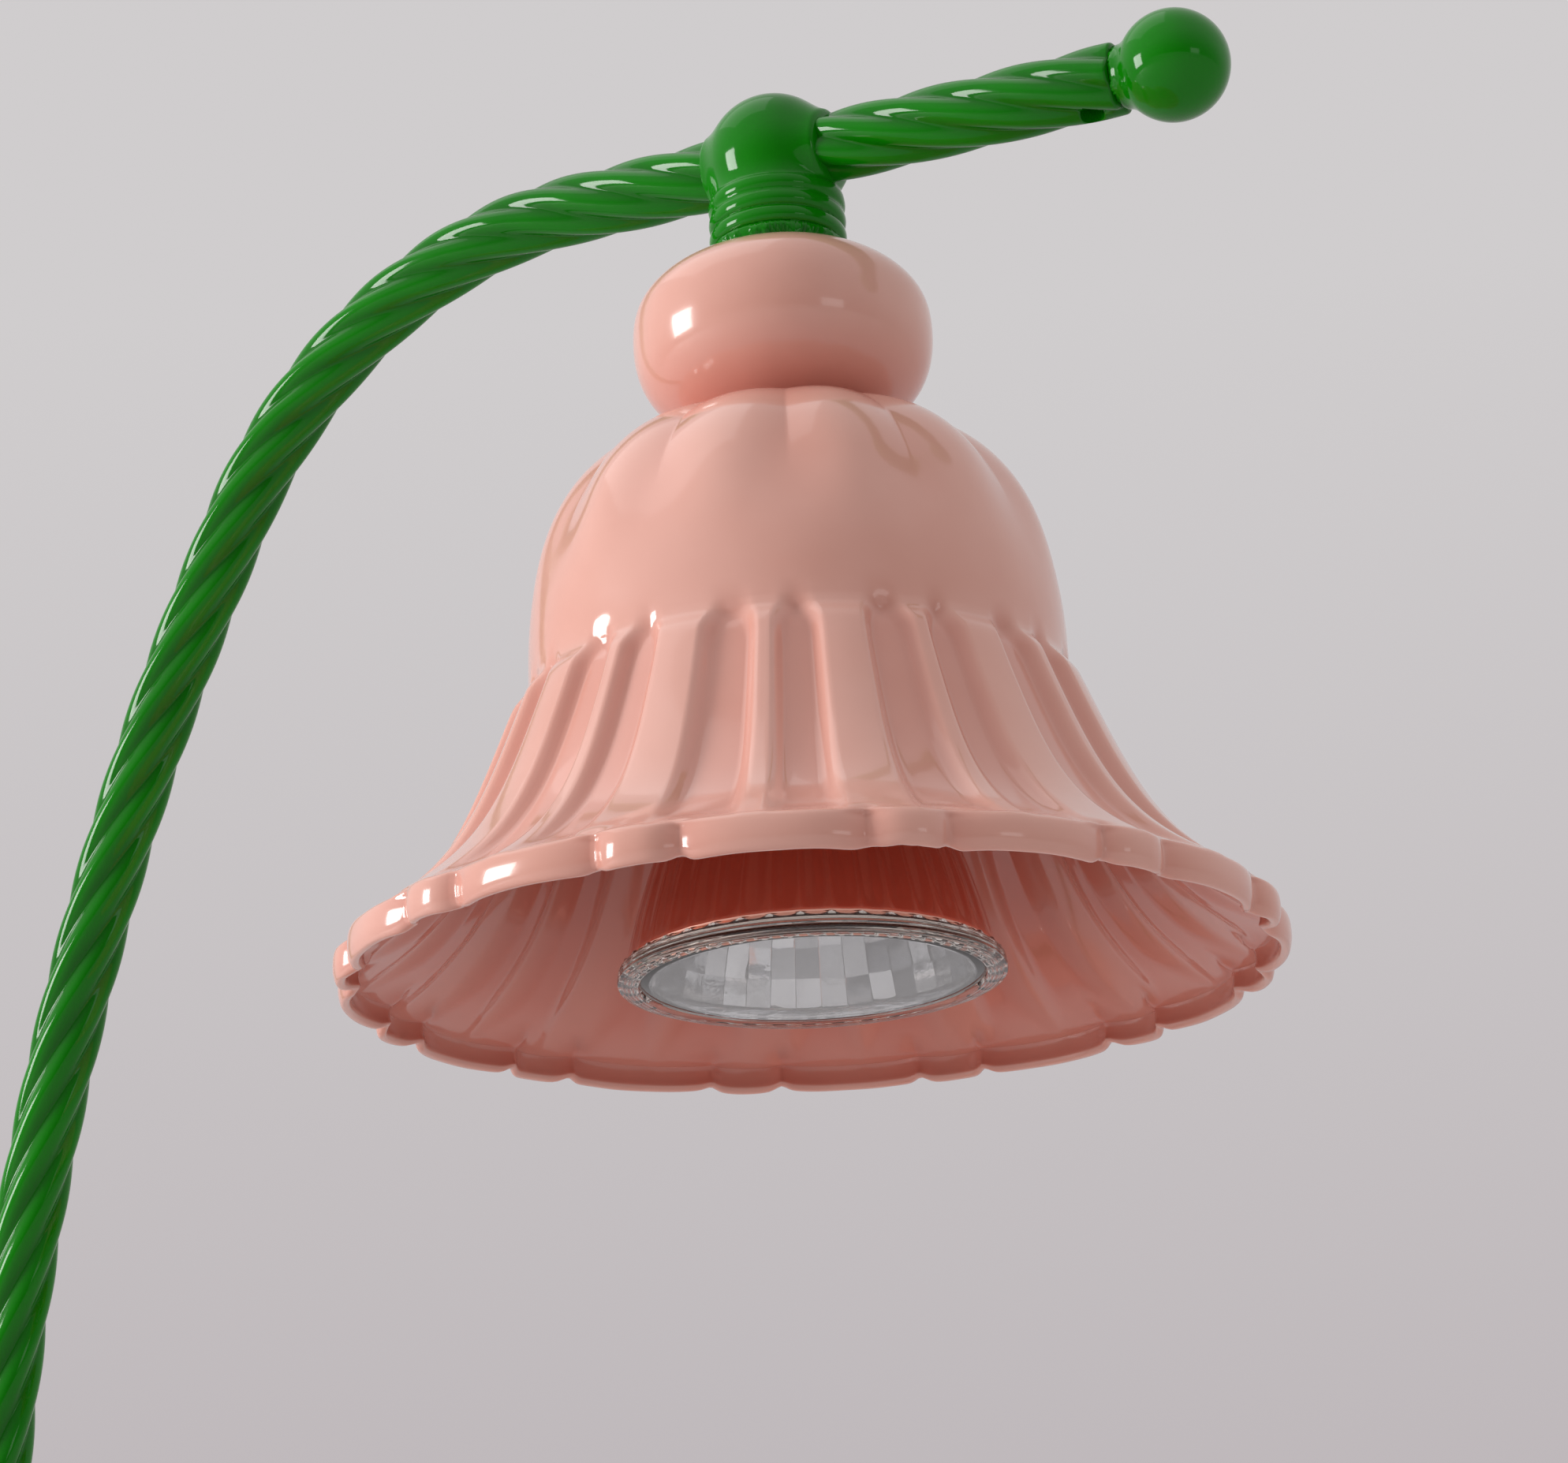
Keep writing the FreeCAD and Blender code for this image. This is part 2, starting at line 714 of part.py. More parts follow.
def bulb_pins():
    pins = []
    for side in (-1, 1):
        neck = Part.makeCylinder(pin_radius, pin_length, V(reach, side * pin_offset, cap_top))
        head = Part.makeCylinder(pin_head_radius, pin_head_height,
                                 V(reach, side * pin_offset, head_top - pin_head_height))
        pins.append(neck.fuse(head).removeSplitter())
    return Part.Compound(pins)


# Leads: through the stem, down the threaded rod to the holder, and out to the terminals

def inner_lead(side):
    low, high, long_radius = arm_corners()
    y = side * lead_offset
    spread = side * pole_pitch
    turn = lead_turn_radius
    bottom_turn = (stud_bottom - wire_level) * 0.9
    corners = [V(block_start + block_length * 0.45, spread, wire_level),
               V(block_start - 1.0, spread, wire_level),
               V(bottom_turn + 1.5, y, wire_level),
               V(0, y, wire_level), V(0, y, low.z), V(high.x, y, high.z), V(reach, y, ball_height),
               V(reach, y, nipple_bottom - 0.6), V(reach, side * holder_lead_offset, holder_top + 0.6),
               V(reach, side * holder_lead_offset, contact_top())]
    radii = [2.0, 2.0, bottom_turn, long_radius, bend_radius, turn, 3.0, 3.0]
    return round_wire(rounded_route(corners, radii), lead_radius)


def lead_live():
    return inner_lead(1)


def lead_neutral():
    return inner_lead(-1)


# Foot of the stem

def stem_stud():
    thread = Part.makeCylinder(stud_radius, base_height - stud_bottom, V(0, 0, stud_bottom))
    collar = Part.makeCylinder(stud_collar_radius, stud_collar_height, V(0, 0, base_height))
    spigot = Part.makeCylinder(stem_bore_radius - turn_gap, spigot_length, V(0, 0, tube_foot))
    body = thread.fuse(collar).fuse(spigot).removeSplitter()
    return body.cut(Part.makeCylinder(stud_bore_radius, 4 * base_height, V(0, 0, 0)))


def stud_washer():
    return tube(washer_radius, stud_radius + fit_gap, stud_seat - washer_thickness, stud_seat)


def stud_nut():
    return hexagon_nut(stud_nut_width, stud_nut_height, stud_radius + thread_gap,
                       stud_seat - washer_thickness - stud_nut_height, 0)


def stem_ferrule():
    flange = 3.0
    pitch = (ferrule_height - flange - 1.5) / ferrule_rings
    outline = [(0, base_height), (ferrule_radius, base_height), (ferrule_radius, base_height + flange - 1.0),
               (ferrule_radius - 1.0, base_height + flange)]
    outline += ring_profile(ferrule_top_radius, 0.8, ferrule_rings, pitch, base_height + flange)
    outline += [(stem_radius + 1.0, base_height + ferrule_height), (0, base_height + ferrule_height)]
    body = revolved(outline)
    bore = Part.makeCylinder(stem_radius + fit_gap, ferrule_height, V(0, 0, base_height))
    cup = Part.makeCylinder(stud_collar_radius + fit_gap, stud_collar_height + fit_gap, V(0, 0, base_height))
    return body.cut(bore).cut(cup)


# Base

def base_outline(inset, bottom):
    # closed outline of the shell's solid form, moved in by inset
    radius = base_radius - inset
    top = base_height - inset
    edge = base_edge_radius - inset
    edge_centre = V(radius - edge, 0, top - base_slope_drop - edge)
    side_top = edge_centre + V(edge, 0, 0)
    turn = rad(45)
    middle = edge_centre + V(edge * math.cos(turn), 0, edge * math.sin(turn))
    edge_top = edge_centre + V(0, 0, edge)
    flat = V(base_flat_radius, 0, top)
    swell = (edge_top + flat) * 0.5 + V(0, 0, base_slope_drop * 0.3)
    points = [V(0, 0, bottom), V(radius, 0, bottom)]
    edges = [line(points[0], points[1]), line(points[1], side_top), Part.Arc(side_top, middle, edge_top).toShape(),
             Part.Arc(edge_top, swell, flat).toShape(), line(flat, V(0, 0, top)), line(V(0, 0, top), points[0])]
    for edge_shape in edges:
        edge_shape.translate(V(stem_setback, 0, 0))
    return edges


def grommet_axis():
    return V(math.cos(rad(grommet_angle)), math.sin(rad(grommet_angle)), 0)


def along_grommet(radius, start, end):
    at = V(stem_setback, 0, grommet_height) + grommet_axis() * start
    return Part.makeCylinder(radius, end - start, at, grommet_axis())


def base_shell():
    outer = revolved_edges(base_outline(0, pad_height), stem_setback)
    inner = revolved_edges(base_outline(base_wall, 0), stem_setback)
    shell = outer.cut(inner)
    stud_hole = Part.makeCylinder(stud_radius + fit_gap, base_height, V(0, 0, base_height / 2))
    knob_hole = Part.makeCylinder(bushing_radius + fit_gap, base_height, V(knob_x, 0, base_height / 2))
    inlet = along_grommet(grommet_hole_radius, base_radius / 2, base_radius + 5)
    return shell.cut(stud_hole).cut(knob_hole).cut(inlet)


def cord_grommet():
    inner = base_radius - base_wall - grommet_flange
    body = along_grommet(grommet_flange_radius, inner, base_radius + grommet_flange)
    wall = tube(base_radius + turn_gap, base_radius - base_wall - turn_gap, 0, base_height, stem_setback)
    wall = wall.cut(along_grommet(grommet_hole_radius - turn_gap, base_radius / 2, base_radius + 5))
    return body.cut(wall).cut(along_grommet(grommet_bore_radius, base_radius / 2, base_radius + 5))


def screw_places(circle, phase):
    return [V(stem_setback + circle * math.cos(rad(phase + 90 * i)), circle * math.sin(rad(phase + 90 * i)), 0)
            for i in range(4)]


def weight_radius():
    return base_radius - base_wall - weight_gap


def base_weight():
    body = tube(weight_radius(), 0, cover_top, weight_top, stem_setback)
    boss = Part.makeCylinder(nut_pocket_radius + 3, shell_underside - cover_top, V(0, 0, cover_top))
    body = body.fuse(boss).removeSplitter()
    pocket = block((pocket_start, -pocket_width / 2, 0),
                   (pocket_start + pocket_length, pocket_width / 2, stud_seat))
    stud_hole = Part.makeCylinder(stud_radius + fit_gap, base_height, V(0, 0, 0))
    nut_pocket = Part.makeCylinder(nut_pocket_radius, stud_seat - cover_top, V(0, 0, cover_top))
    channel = block((0, -channel_width / 2, cover_top - 1),
                    (base_radius, channel_width / 2, grommet_height + grommet_flange_radius))
    channel.rotate(V(0, 0, 0), UP, grommet_angle)
    channel.translate(V(stem_setback, 0, 0))
    body = body.cut(pocket).cut(stud_hole).cut(nut_pocket).cut(channel)
    for place in screw_places(cover_screw_circle, 45):
        hole = Part.makeCylinder(cover_screw_radius + thread_gap, cover_screw_length, place + UP * cover_top)
        body = body.cut(hole)
    return body


def bottom_cover():
    plate = tube(base_radius - base_wall - cover_gap, 0, pad_height, cover_top, stem_setback)
    for place in screw_places(cover_screw_circle, 45):
        plate = plate.cut(countersink(place, fit_gap))
    return plate


def countersink(place, gap):
    head = 2 * cover_screw_radius + gap
    shank = cover_screw_radius + gap
    cone = Part.makeCone(head, shank, cover_thickness, place + UP * pad_height)
    return cone


def cover_screws():
    screws = []
    for place in screw_places(cover_screw_circle, 45):
        shank = Part.makeCylinder(cover_screw_radius, cover_screw_length - 1, place + UP * cover_top)
        low = V(place.x, place.y, pad_height)
        slot = block((low.x - 4, low.y - 0.25, low.z - 1), (low.x + 4, low.y + 0.25, low.z + 0.5))
        screws.append(countersink(place, 0).fuse(shank).cut(slot))
    return Part.Compound(screws)


def base_pad():
    pad = tube(pad_radius, 0, 0, pad_height, stem_setback)
    low = [edge for edge in pad.Edges if edge.BoundBox.ZMax < 0.01]
    pad = pad.makeFillet(pad_height * 0.3, low)
    for place in screw_places(cover_screw_circle, 45):
        pad = pad.cut(Part.makeCylinder(pad_hole_radius, pad_height, place))
    return pad


# Wiring in the base

def poles():
    return [-pole_pitch, 0, pole_pitch]


def block_ends():
    return block_start + terminal_screw_inset, block_start + block_length - terminal_screw_inset


def terminal_block():
    body = block((block_start, -block_width / 2, cover_top),
                 (block_start + block_length, block_width / 2, cover_top + block_height))
    for y in poles():
        tunnel = Part.makeCylinder(sleeve_radius + turn_gap, 2 * block_length, V(block_start - 5, y, wire_level), EAST)
        body = body.cut(tunnel)
        for x in block_ends():
            hole = Part.makeCylinder(terminal_screw_radius + fit_gap, 2 * block_height, V(x, y, wire_level))
            body = body.cut(hole)
    return body


def terminal_sleeves():
    sleeves = []
    for y in poles():
        start = V(block_start + 0.5, y, wire_level)
        sleeve = Part.makeCylinder(sleeve_radius, block_length - 1, start, EAST)
        sleeve = sleeve.cut(Part.makeCylinder(sleeve_bore_radius, block_length - 1, start, EAST))
        for x in block_ends():
            sleeve = sleeve.cut(Part.makeCylinder(terminal_screw_radius + thread_gap, block_height, V(x, y, wire_level)))
        sleeves.append(sleeve)
    return Part.Compound(sleeves)


def terminal_screws():
    screws = []
    low = wire_level + lead_radius + 0.05
    top = cover_top + block_height - 0.6
    for y in poles():
        for x in block_ends():
            screw = Part.makeCylinder(terminal_screw_radius, top - low, V(x, y, low))
            slot = block((x - 2, y - 0.2, top - 0.6), (x + 2, y + 0.2, top + 1))
            screws.append(screw.cut(slot))
    return Part.Compound(screws)


def case_low():
    return shell_underside - case_height


def dimmer_links():
    # the live side alone runs through the dimmer; the neutral pole goes straight to its lead
    links = []
    for y in poles()[1:]:
        corner_x = (block_start + block_length + knob_x - case_width / 2) / 2
        corners = [V(block_start + block_length * 0.6, y, wire_level), V(corner_x, y, wire_level),
                   V(corner_x, y, link_level), V(knob_x - case_width / 2, y, link_level)]
        links.append(round_wire(rounded_route(corners, [2.0, 2.0]), lead_radius))
    return Part.Compound(links)


# Dimmer

def dimmer_case():
    half = case_width / 2
    low = case_low()
    body = block((knob_x - half, -half, low), (knob_x + half, half, shell_underside))
    room = block((knob_x - half + case_wall, -half + case_wall, low + case_wall),
                 (knob_x + half - case_wall, half - case_wall, shell_underside - case_wall))
    bushing = Part.makeCylinder(bushing_radius, base_wall + bushing_above, V(knob_x, 0, shell_underside))
    shaft_way = Part.makeCylinder(shaft_radius + turn_gap, case_height + base_height,
                                  V(knob_x, 0, shell_underside - case_wall))
    return body.cut(room).fuse(bushing).cut(shaft_way).removeSplitter()


def dimmer_nut():
    return hexagon_nut(panel_nut_width, panel_nut_height, bushing_radius + thread_gap, base_height, knob_x)


def dimmer_shaft():
    low = shell_underside - case_wall - shaft_below
    top = base_height + shaft_above
    shaft = Part.makeCylinder(shaft_radius, top - low, V(knob_x, 0, low))
    rotor = Part.makeCylinder(shaft_radius + 2, shaft_below * 0.6, V(knob_x, 0, low))
    flat = block((knob_x - shaft_radius, shaft_radius - flat_depth, base_height + bushing_above + 1),
                 (knob_x + shaft_radius, shaft_radius + 1, top))
    return shaft.fuse(rotor).cut(flat)


def dimmer_knob():
    bottom = base_height + knob_lift
    top = bottom + knob_height
    body = Part.makeCylinder(knob_radius, knob_height, V(knob_x, 0, bottom))
    rim = [edge for edge in body.Edges if edge.BoundBox.ZMin > top - 0.01]
    body = body.makeFillet(2.0, rim)
    recess = Part.makeCylinder(knob_recess_radius, knob_recess, V(knob_x, 0, bottom))
    bore = Part.makeCylinder(shaft_radius, base_height + shaft_above - bottom, V(knob_x, 0, bottom))
    flat = block((knob_x - shaft_radius, shaft_radius - flat_depth, bottom + knob_recess),
                 (knob_x + shaft_radius, shaft_radius + 1, base_height + shaft_above))
    body = body.cut(recess).cut(bore.cut(flat))
    for i in range(knob_grips):
        turn = rad(360.0 * i / knob_grips)
        groove = Part.makeCylinder(0.9, knob_height - 3, V(knob_x + (knob_radius + 0.45) * math.cos(turn),
                                                          (knob_radius + 0.45) * math.sin(turn), bottom - 1))
        body = body.cut(groove)
    pointer = block((knob_x + knob_radius * 0.45, -0.5, top - 0.5), (knob_x + knob_radius + 1, 0.5, top + 1))
    return body.cut(pointer)


nodes = {
    "stem_tube": stem_tube, "ball_coupling": ball_coupling, "coupling_screw": coupling_screw,
    "finial_ball": finial_ball, "bead_cover": bead_cover, "shade": shade,
    "threaded_nipple": threaded_nipple, "shade_nut": shade_nut, "holder_bracket": holder_bracket,
    "lamp_holder": lamp_holder, "holder_contacts": holder_contacts, "holder_screws": holder_screws,
    "bulb_reflector": bulb_reflector, "bulb_front_glass": bulb_front_glass,
    "bulb_capsule": bulb_capsule, "bulb_base": bulb_base, "bulb_pins": bulb_pins,
    "lead_live": lead_live, "lead_neutral": lead_neutral,
    "stem_stud": stem_stud, "stud_washer": stud_washer, "stud_nut": stud_nut,
    "stem_ferrule": stem_ferrule, "base_shell": base_shell, "base_weight": base_weight,
    "bottom_cover": bottom_cover, "cover_screws": cover_screws, "base_pad": base_pad,
    "cord_grommet": cord_grommet, "terminal_block": terminal_block,
    "terminal_sleeves": terminal_sleeves, "terminal_screws": terminal_screws,
    "dimmer_case": dimmer_case, "dimmer_nut": dimmer_nut, "dimmer_shaft": dimmer_shaft,
    "dimmer_knob": dimmer_knob, "dimmer_links": dimmer_links,
}

os.makedirs("parts", exist_ok=True)
for name, make in nodes.items():
    shape = make()
    box = shape.BoundBox
    print("%-18s solids %d valid %s volume %.0f x %.1f..%.1f y %.1f..%.1f z %.1f..%.1f" % (
        name, len(shape.Solids), shape.isValid(), shape.Volume,
        box.XMin, box.XMax, box.YMin, box.YMax, box.ZMin, box.ZMax))
    shape.exportStep("parts/" + name + ".step")
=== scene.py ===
import json
import math

import bmesh
import bpy
import numpy as np
from mathutils import Matrix, Vector


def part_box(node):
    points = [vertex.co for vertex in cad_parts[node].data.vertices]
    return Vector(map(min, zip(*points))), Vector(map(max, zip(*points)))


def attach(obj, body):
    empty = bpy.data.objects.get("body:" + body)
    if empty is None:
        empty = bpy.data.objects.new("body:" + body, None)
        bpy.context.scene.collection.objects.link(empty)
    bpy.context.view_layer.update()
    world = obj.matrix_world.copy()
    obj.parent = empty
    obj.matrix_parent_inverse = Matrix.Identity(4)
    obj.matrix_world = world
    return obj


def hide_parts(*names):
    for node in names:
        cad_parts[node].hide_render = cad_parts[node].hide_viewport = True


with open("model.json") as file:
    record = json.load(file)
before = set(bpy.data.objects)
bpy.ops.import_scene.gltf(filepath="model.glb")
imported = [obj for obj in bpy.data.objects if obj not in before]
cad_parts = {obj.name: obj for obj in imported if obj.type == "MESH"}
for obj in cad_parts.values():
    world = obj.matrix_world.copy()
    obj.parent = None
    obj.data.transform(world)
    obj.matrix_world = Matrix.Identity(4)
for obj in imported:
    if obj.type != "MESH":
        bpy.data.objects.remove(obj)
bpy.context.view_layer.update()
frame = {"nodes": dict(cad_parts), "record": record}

# Piece sizes are in millimetres and are turned to metres when a mesh is made.
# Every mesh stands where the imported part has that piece.
mm = 0.001
chance = np.random.default_rng(71)


def boxOf(node):
    low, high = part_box(node)
    return np.array(low) / mm, np.array(high) / mm


shadeLow, shadeHigh = boxOf("shade")
shadeAxis = (shadeLow[0] + shadeHigh[0]) / 2
rimHeight = shadeLow[2]
shadeTop = shadeHigh[2]
beadTop = boxOf("bead_cover")[1][2]
couplingTop = boxOf("ball_coupling")[1][2]
stemFoot = boxOf("stem_tube")[0][2]
bulbFront = boxOf("bulb_reflector")[0][2]
print("frame loaded, shade axis at x =", round(shadeAxis, 2), "mm")


# Shaping helpers

def softStep(value):
    clipped = np.clip(value, 0.0, 1.0)
    return clipped * clipped * (3 - 2 * clipped)


def softMin(first, second, reach):
    # the smaller of two values, rounded where they are alike
    near = np.maximum(reach - np.abs(first - second), 0.0)
    return np.minimum(first, second) - near * near / (4 * reach)


def curveThrough(points, count):
    # one smooth curve through all the points, evenly divided along its length
    knots = np.array(points, float)
    along = np.concatenate([[0], np.cumsum(np.linalg.norm(np.diff(knots, axis=0), axis=1))])
    total = len(knots)
    gap = np.diff(along)
    matrix = np.eye(total)
    known = np.zeros_like(knots)
    for i in range(1, total - 1):
        matrix[i, i - 1:i + 2] = gap[i - 1], 2 * (gap[i - 1] + gap[i]), gap[i]
        known[i] = 6 * ((knots[i + 1] - knots[i]) / gap[i] - (knots[i] - knots[i - 1]) / gap[i - 1])
    bend = np.linalg.solve(matrix, known)
    at = np.linspace(0, along[-1], count)
    k = np.clip(np.searchsorted(along, at, side="right") - 1, 0, total - 2)
    after = (along[k + 1] - at)[:, None]
    before = (at - along[k])[:, None]
    width = gap[k][:, None]
    return ((bend[k] * after ** 3 + bend[k + 1] * before ** 3) / (6 * width)
            + (knots[k] / width - bend[k] * width / 6) * after
            + (knots[k + 1] / width - bend[k + 1] * width / 6) * before)


def eased(outline, passes):
    # rounds the corners of an outline a little with each pass, its ends stay
    line = np.array(outline, float)
    for step in range(passes):
        line[1:-1] = line[:-2] * 0.25 + line[1:-1] * 0.5 + line[2:] * 0.25
    return line


def movedIn(outline, distance):
    # the outline moved square to itself, to the left of its direction of travel
    heading = np.gradient(outline, axis=0)
    heading /= np.linalg.norm(heading, axis=1)[:, None]
    return outline + distance * np.stack([-heading[:, 1], heading[:, 0]], axis=1)


def gridFaces(rows, columns, loopRows=False):
    # quads of a grid whose columns close on themselves, and its rows too where asked
    faces = []
    for row in range(rows if loopRows else rows - 1):
        here = row * columns
        there = ((row + 1) % rows) * columns
        for column in range(columns):
            beside = (column + 1) % columns
            faces.append((here + column, here + beside, there + beside, there + column))
    return faces


def added(name, data):
    thing = bpy.data.objects.new(name, data)
    bpy.context.scene.collection.objects.link(thing)
    return thing


def meshOf(name, points, faces, finish):
    # a mesh from points in millimetres, its doubled points merged and its faces turned outward
    mesh = bpy.data.meshes.new(name)
    mesh.from_pydata((np.asarray(points, float) * mm).tolist(), [], faces)
    work = bmesh.new()
    work.from_mesh(mesh)
    bmesh.ops.remove_doubles(work, verts=work.verts[:], dist=1e-8)
    bmesh.ops.recalc_face_normals(work, faces=work.faces[:])
    work.to_mesh(mesh)
    work.free()
    mesh.materials.append(finish)
    return mesh


def makePiece(name, points, faces, body, slot, replaced=(), finish=None, flat=False):
    mesh = meshOf(name, points, faces, finishes[slot] if finish is None else finish)
    if not flat:
        mesh.shade_smooth()
    piece = added(name, mesh)
    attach(piece, body)
    if replaced:
        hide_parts(*replaced)
    return piece


def cappedFaces(rows, columns):
    # a grid that is closed at its first and last row
    last = (rows - 1) * columns
    return gridFaces(rows, columns) + [tuple(range(columns)), tuple(range(last, last + columns))]


def turnedPoints(outline, columns, axisX, wave=None):
    # an outline of (radius, height) turned round an upright axis; wave(angle, row) adds to the radius
    angle = 2 * math.pi * np.arange(columns) / columns
    rows = []
    for row, (radius, height) in enumerate(outline):
        spread = radius + (wave(angle, row) if wave else 0.0)
        rows.append(np.stack([axisX + spread * np.cos(angle), spread * np.sin(angle),
                              np.full(columns, height)], axis=1))
    return np.concatenate(rows)


def addMeasure(piece, name, values):
    # a value at each point that the finish can read
    layer = piece.data.attributes.new(name, "FLOAT", "POINT")
    layer.data.foreach_set("value", np.asarray(values, np.float32).ravel())


# Finishes

noiseScale = {
    "enamelTone": 45, "enamelGloss": 120, "enamelPeel": 260, "enamelWaves": 95, "pinholes": 75,
    "metalCloud": 60, "mouldedCloud": 90, "glassTone": 80, "glassGloss": 200, "glassDraw": 220,
    "floorCloud": 3}


def newFinish(name):
    finish = bpy.data.materials.new(name)
    finish.use_nodes = True
    nodes = finish.node_tree.nodes
    place = nodes.new("ShaderNodeTexCoord").outputs["Object"]
    return finish, nodes, finish.node_tree.links, nodes["Principled BSDF"], place


def noiseAt(nodes, links, place, scale, detail=2.0, roughness=0.5):
    noise = nodes.new("ShaderNodeTexNoise")
    noise.inputs["Scale"].default_value = scale
    noise.inputs["Detail"].default_value = detail
    noise.inputs["Roughness"].default_value = roughness
    links.new(place, noise.inputs["Vector"])
    return noise.outputs["Fac"]


def rangeOf(nodes, links, value, fromLow, fromHigh, toLow, toHigh):
    spread = nodes.new("ShaderNodeMapRange")
    limits = {"From Min": fromLow, "From Max": fromHigh, "To Min": toLow, "To Max": toHigh}
    for label, number in limits.items():
        spread.inputs[label].default_value = number
    links.new(value, spread.inputs["Value"])
    return spread.outputs["Result"]


def cloudAt(nodes, links, place, scale, detail, low=0.0, high=1.0):
    # noise with its middle part stretched to run from low to high
    return rangeOf(nodes, links, noiseAt(nodes, links, place, scale, detail), 0.3, 0.7, low, high)


def mixedColour(nodes, links, share, first, second):
    mix = nodes.new("ShaderNodeMix")
    mix.data_type = "RGBA"
    links.new(share, mix.inputs["Factor"])
    for socket, colour in ((mix.inputs["A"], first), (mix.inputs["B"], second)):
        if isinstance(colour, tuple):
            socket.default_value = (*colour, 1.0)
        else:
            links.new(colour, socket)
    return mix.outputs["Result"]


def bumpOf(nodes, links, heights):
    # heights is a list of (value, strength, distance in metres), laid over each other
    normal = None
    for value, strength, distance in heights:
        bump = nodes.new("ShaderNodeBump")
        bump.inputs["Strength"].default_value = strength
        bump.inputs["Distance"].default_value = distance
        links.new(value, bump.inputs["Height"])
        if normal:
            links.new(normal, bump.inputs["Normal"])
        normal = bump.outputs["Normal"]
    return normal


def pinholes(nodes, links, place, scale, size):
    # 1 in a few small spots, 0 elsewhere
    clearShare = 0.80   # of the cells have no spot
    cells = nodes.new("ShaderNodeTexVoronoi")
    cells.inputs["Scale"].default_value = scale
    links.new(place, cells.inputs["Vector"])
    spot = rangeOf(nodes, links, cells.outputs["Distance"], size * 0.6, size, 1.0, 0.0)
    parts = nodes.new("ShaderNodeSeparateColor")
    links.new(cells.outputs["Color"], parts.inputs["Color"])
    chosen = rangeOf(nodes, links, parts.outputs["Red"], clearShare, clearShare + 0.02, 0.0, 1.0)
    both = nodes.new("ShaderNodeMath")
    both.operation = "MULTIPLY"
    links.new(spot, both.inputs[0])
    links.new(chosen, both.inputs[1])
    return both.outputs["Value"]


def enamel(name, look):
    # thick glossy paint: a slow change of tone, orange peel, a few pinholes, and a darker, deeper colour where
    # the enamel pools and where painted shade is laid in hollows and inside the shade
    finish, nodes, links, shader, place = newFinish(name)
    slow = noiseAt(nodes, links, place, noiseScale["enamelTone"], 3)
    tone = rangeOf(nodes, links, slow, 0.35, 0.65, 0.0, 1.0)
    colour = mixedColour(nodes, links, tone, look["colour"], look["deeper"])
    # painted shade, with some enamel pooling: a value at each point draws the colour towards the darker pooled
    # colour
    paintedLightAndPool = nodes.new("ShaderNodeAttribute")
    paintedLightAndPool.attribute_name = "paintedLightAndPool"
    pooledAndShaded = rangeOf(nodes, links, paintedLightAndPool.outputs["Fac"], 0.0, 1.0, 0.0, look["shadeAndPoolShare"])
    colour = mixedColour(nodes, links, pooledAndShaded, colour, look["pooledAndShaded"])
    spots = pinholes(nodes, links, place, noiseScale["pinholes"], look["pinholeSize"])
    tint = rangeOf(nodes, links, spots, 0, 1, 0, look["pinholeTint"])
    colour = mixedColour(nodes, links, tint, colour, look["pinhole"])
    links.new(colour, shader.inputs["Base Color"])
    gloss = cloudAt(nodes, links, place, noiseScale["enamelGloss"], 2, *look["gloss"])
    links.new(gloss, shader.inputs["Roughness"])
    shader.inputs["Specular IOR Level"].default_value = look["shine"]
    shader.inputs["Coat Weight"].default_value = look["coat"]
    shader.inputs["Coat Roughness"].default_value = look["coatRoughness"]
    peel = noiseAt(nodes, links, place, noiseScale["enamelPeel"], 1)
    waves = noiseAt(nodes, links, place, noiseScale["enamelWaves"], 1)
    normal = bumpOf(nodes, links, [(waves, look["waves"], 0.0006), (peel, look["peel"], 0.0003),
                                   (spots, 0.5, -0.0002)])
    links.new(normal, shader.inputs["Normal"])
    links.new(normal, shader.inputs["Coat Normal"])
    return finish


def metal(name, colour, deeper, roughness, grainScale, metallic=1.0):
    finish, nodes, links, shader, place = newFinish(name)
    grain = noiseAt(nodes, links, place, grainScale, 4, 0.65)
    cloud = cloudAt(nodes, links, place, noiseScale["metalCloud"], 2)
    links.new(mixedColour(nodes, links, cloud, colour, deeper), shader.inputs["Base Color"])
    links.new(rangeOf(nodes, links, grain, 0.3, 0.7, *roughness), shader.inputs["Roughness"])
    shader.inputs["Metallic"].default_value = metallic
    links.new(bumpOf(nodes, links, [(grain, 0.15, 0.0002)]), shader.inputs["Normal"])
    return finish


def moulded(name, colour, deeper, roughness, grainScale, depth):
    # plastic, rubber or fired ceramic, by its tones and grain
    finish, nodes, links, shader, place = newFinish(name)
    grain = noiseAt(nodes, links, place, grainScale, 3, 0.6)
    cloud = cloudAt(nodes, links, place, noiseScale["mouldedCloud"], 3)
    links.new(mixedColour(nodes, links, cloud, colour, deeper), shader.inputs["Base Color"])
    links.new(rangeOf(nodes, links, grain, 0.3, 0.7, *roughness), shader.inputs["Roughness"])
    links.new(bumpOf(nodes, links, [(grain, 0.3, depth)]), shader.inputs["Normal"])
    return finish


def clearGlass(name, colour, deeper, waveStrength):
    finish, nodes, links, shader, place = newFinish(name)
    tone = cloudAt(nodes, links, place, noiseScale["glassTone"], 2)
    links.new(mixedColour(nodes, links, tone, colour, deeper), shader.inputs["Base Color"])
    gloss = cloudAt(nodes, links, place, noiseScale["glassGloss"], 2, 0.0, 0.03)
    links.new(gloss, shader.inputs["Roughness"])
    shader.inputs["Transmission Weight"].default_value = 1.0
    shader.inputs["IOR"].default_value = 1.5
    draw = noiseAt(nodes, links, place, noiseScale["glassDraw"], 1)
    links.new(bumpOf(nodes, links, [(draw, waveStrength, 0.0003)]), shader.inputs["Normal"])
    return finish
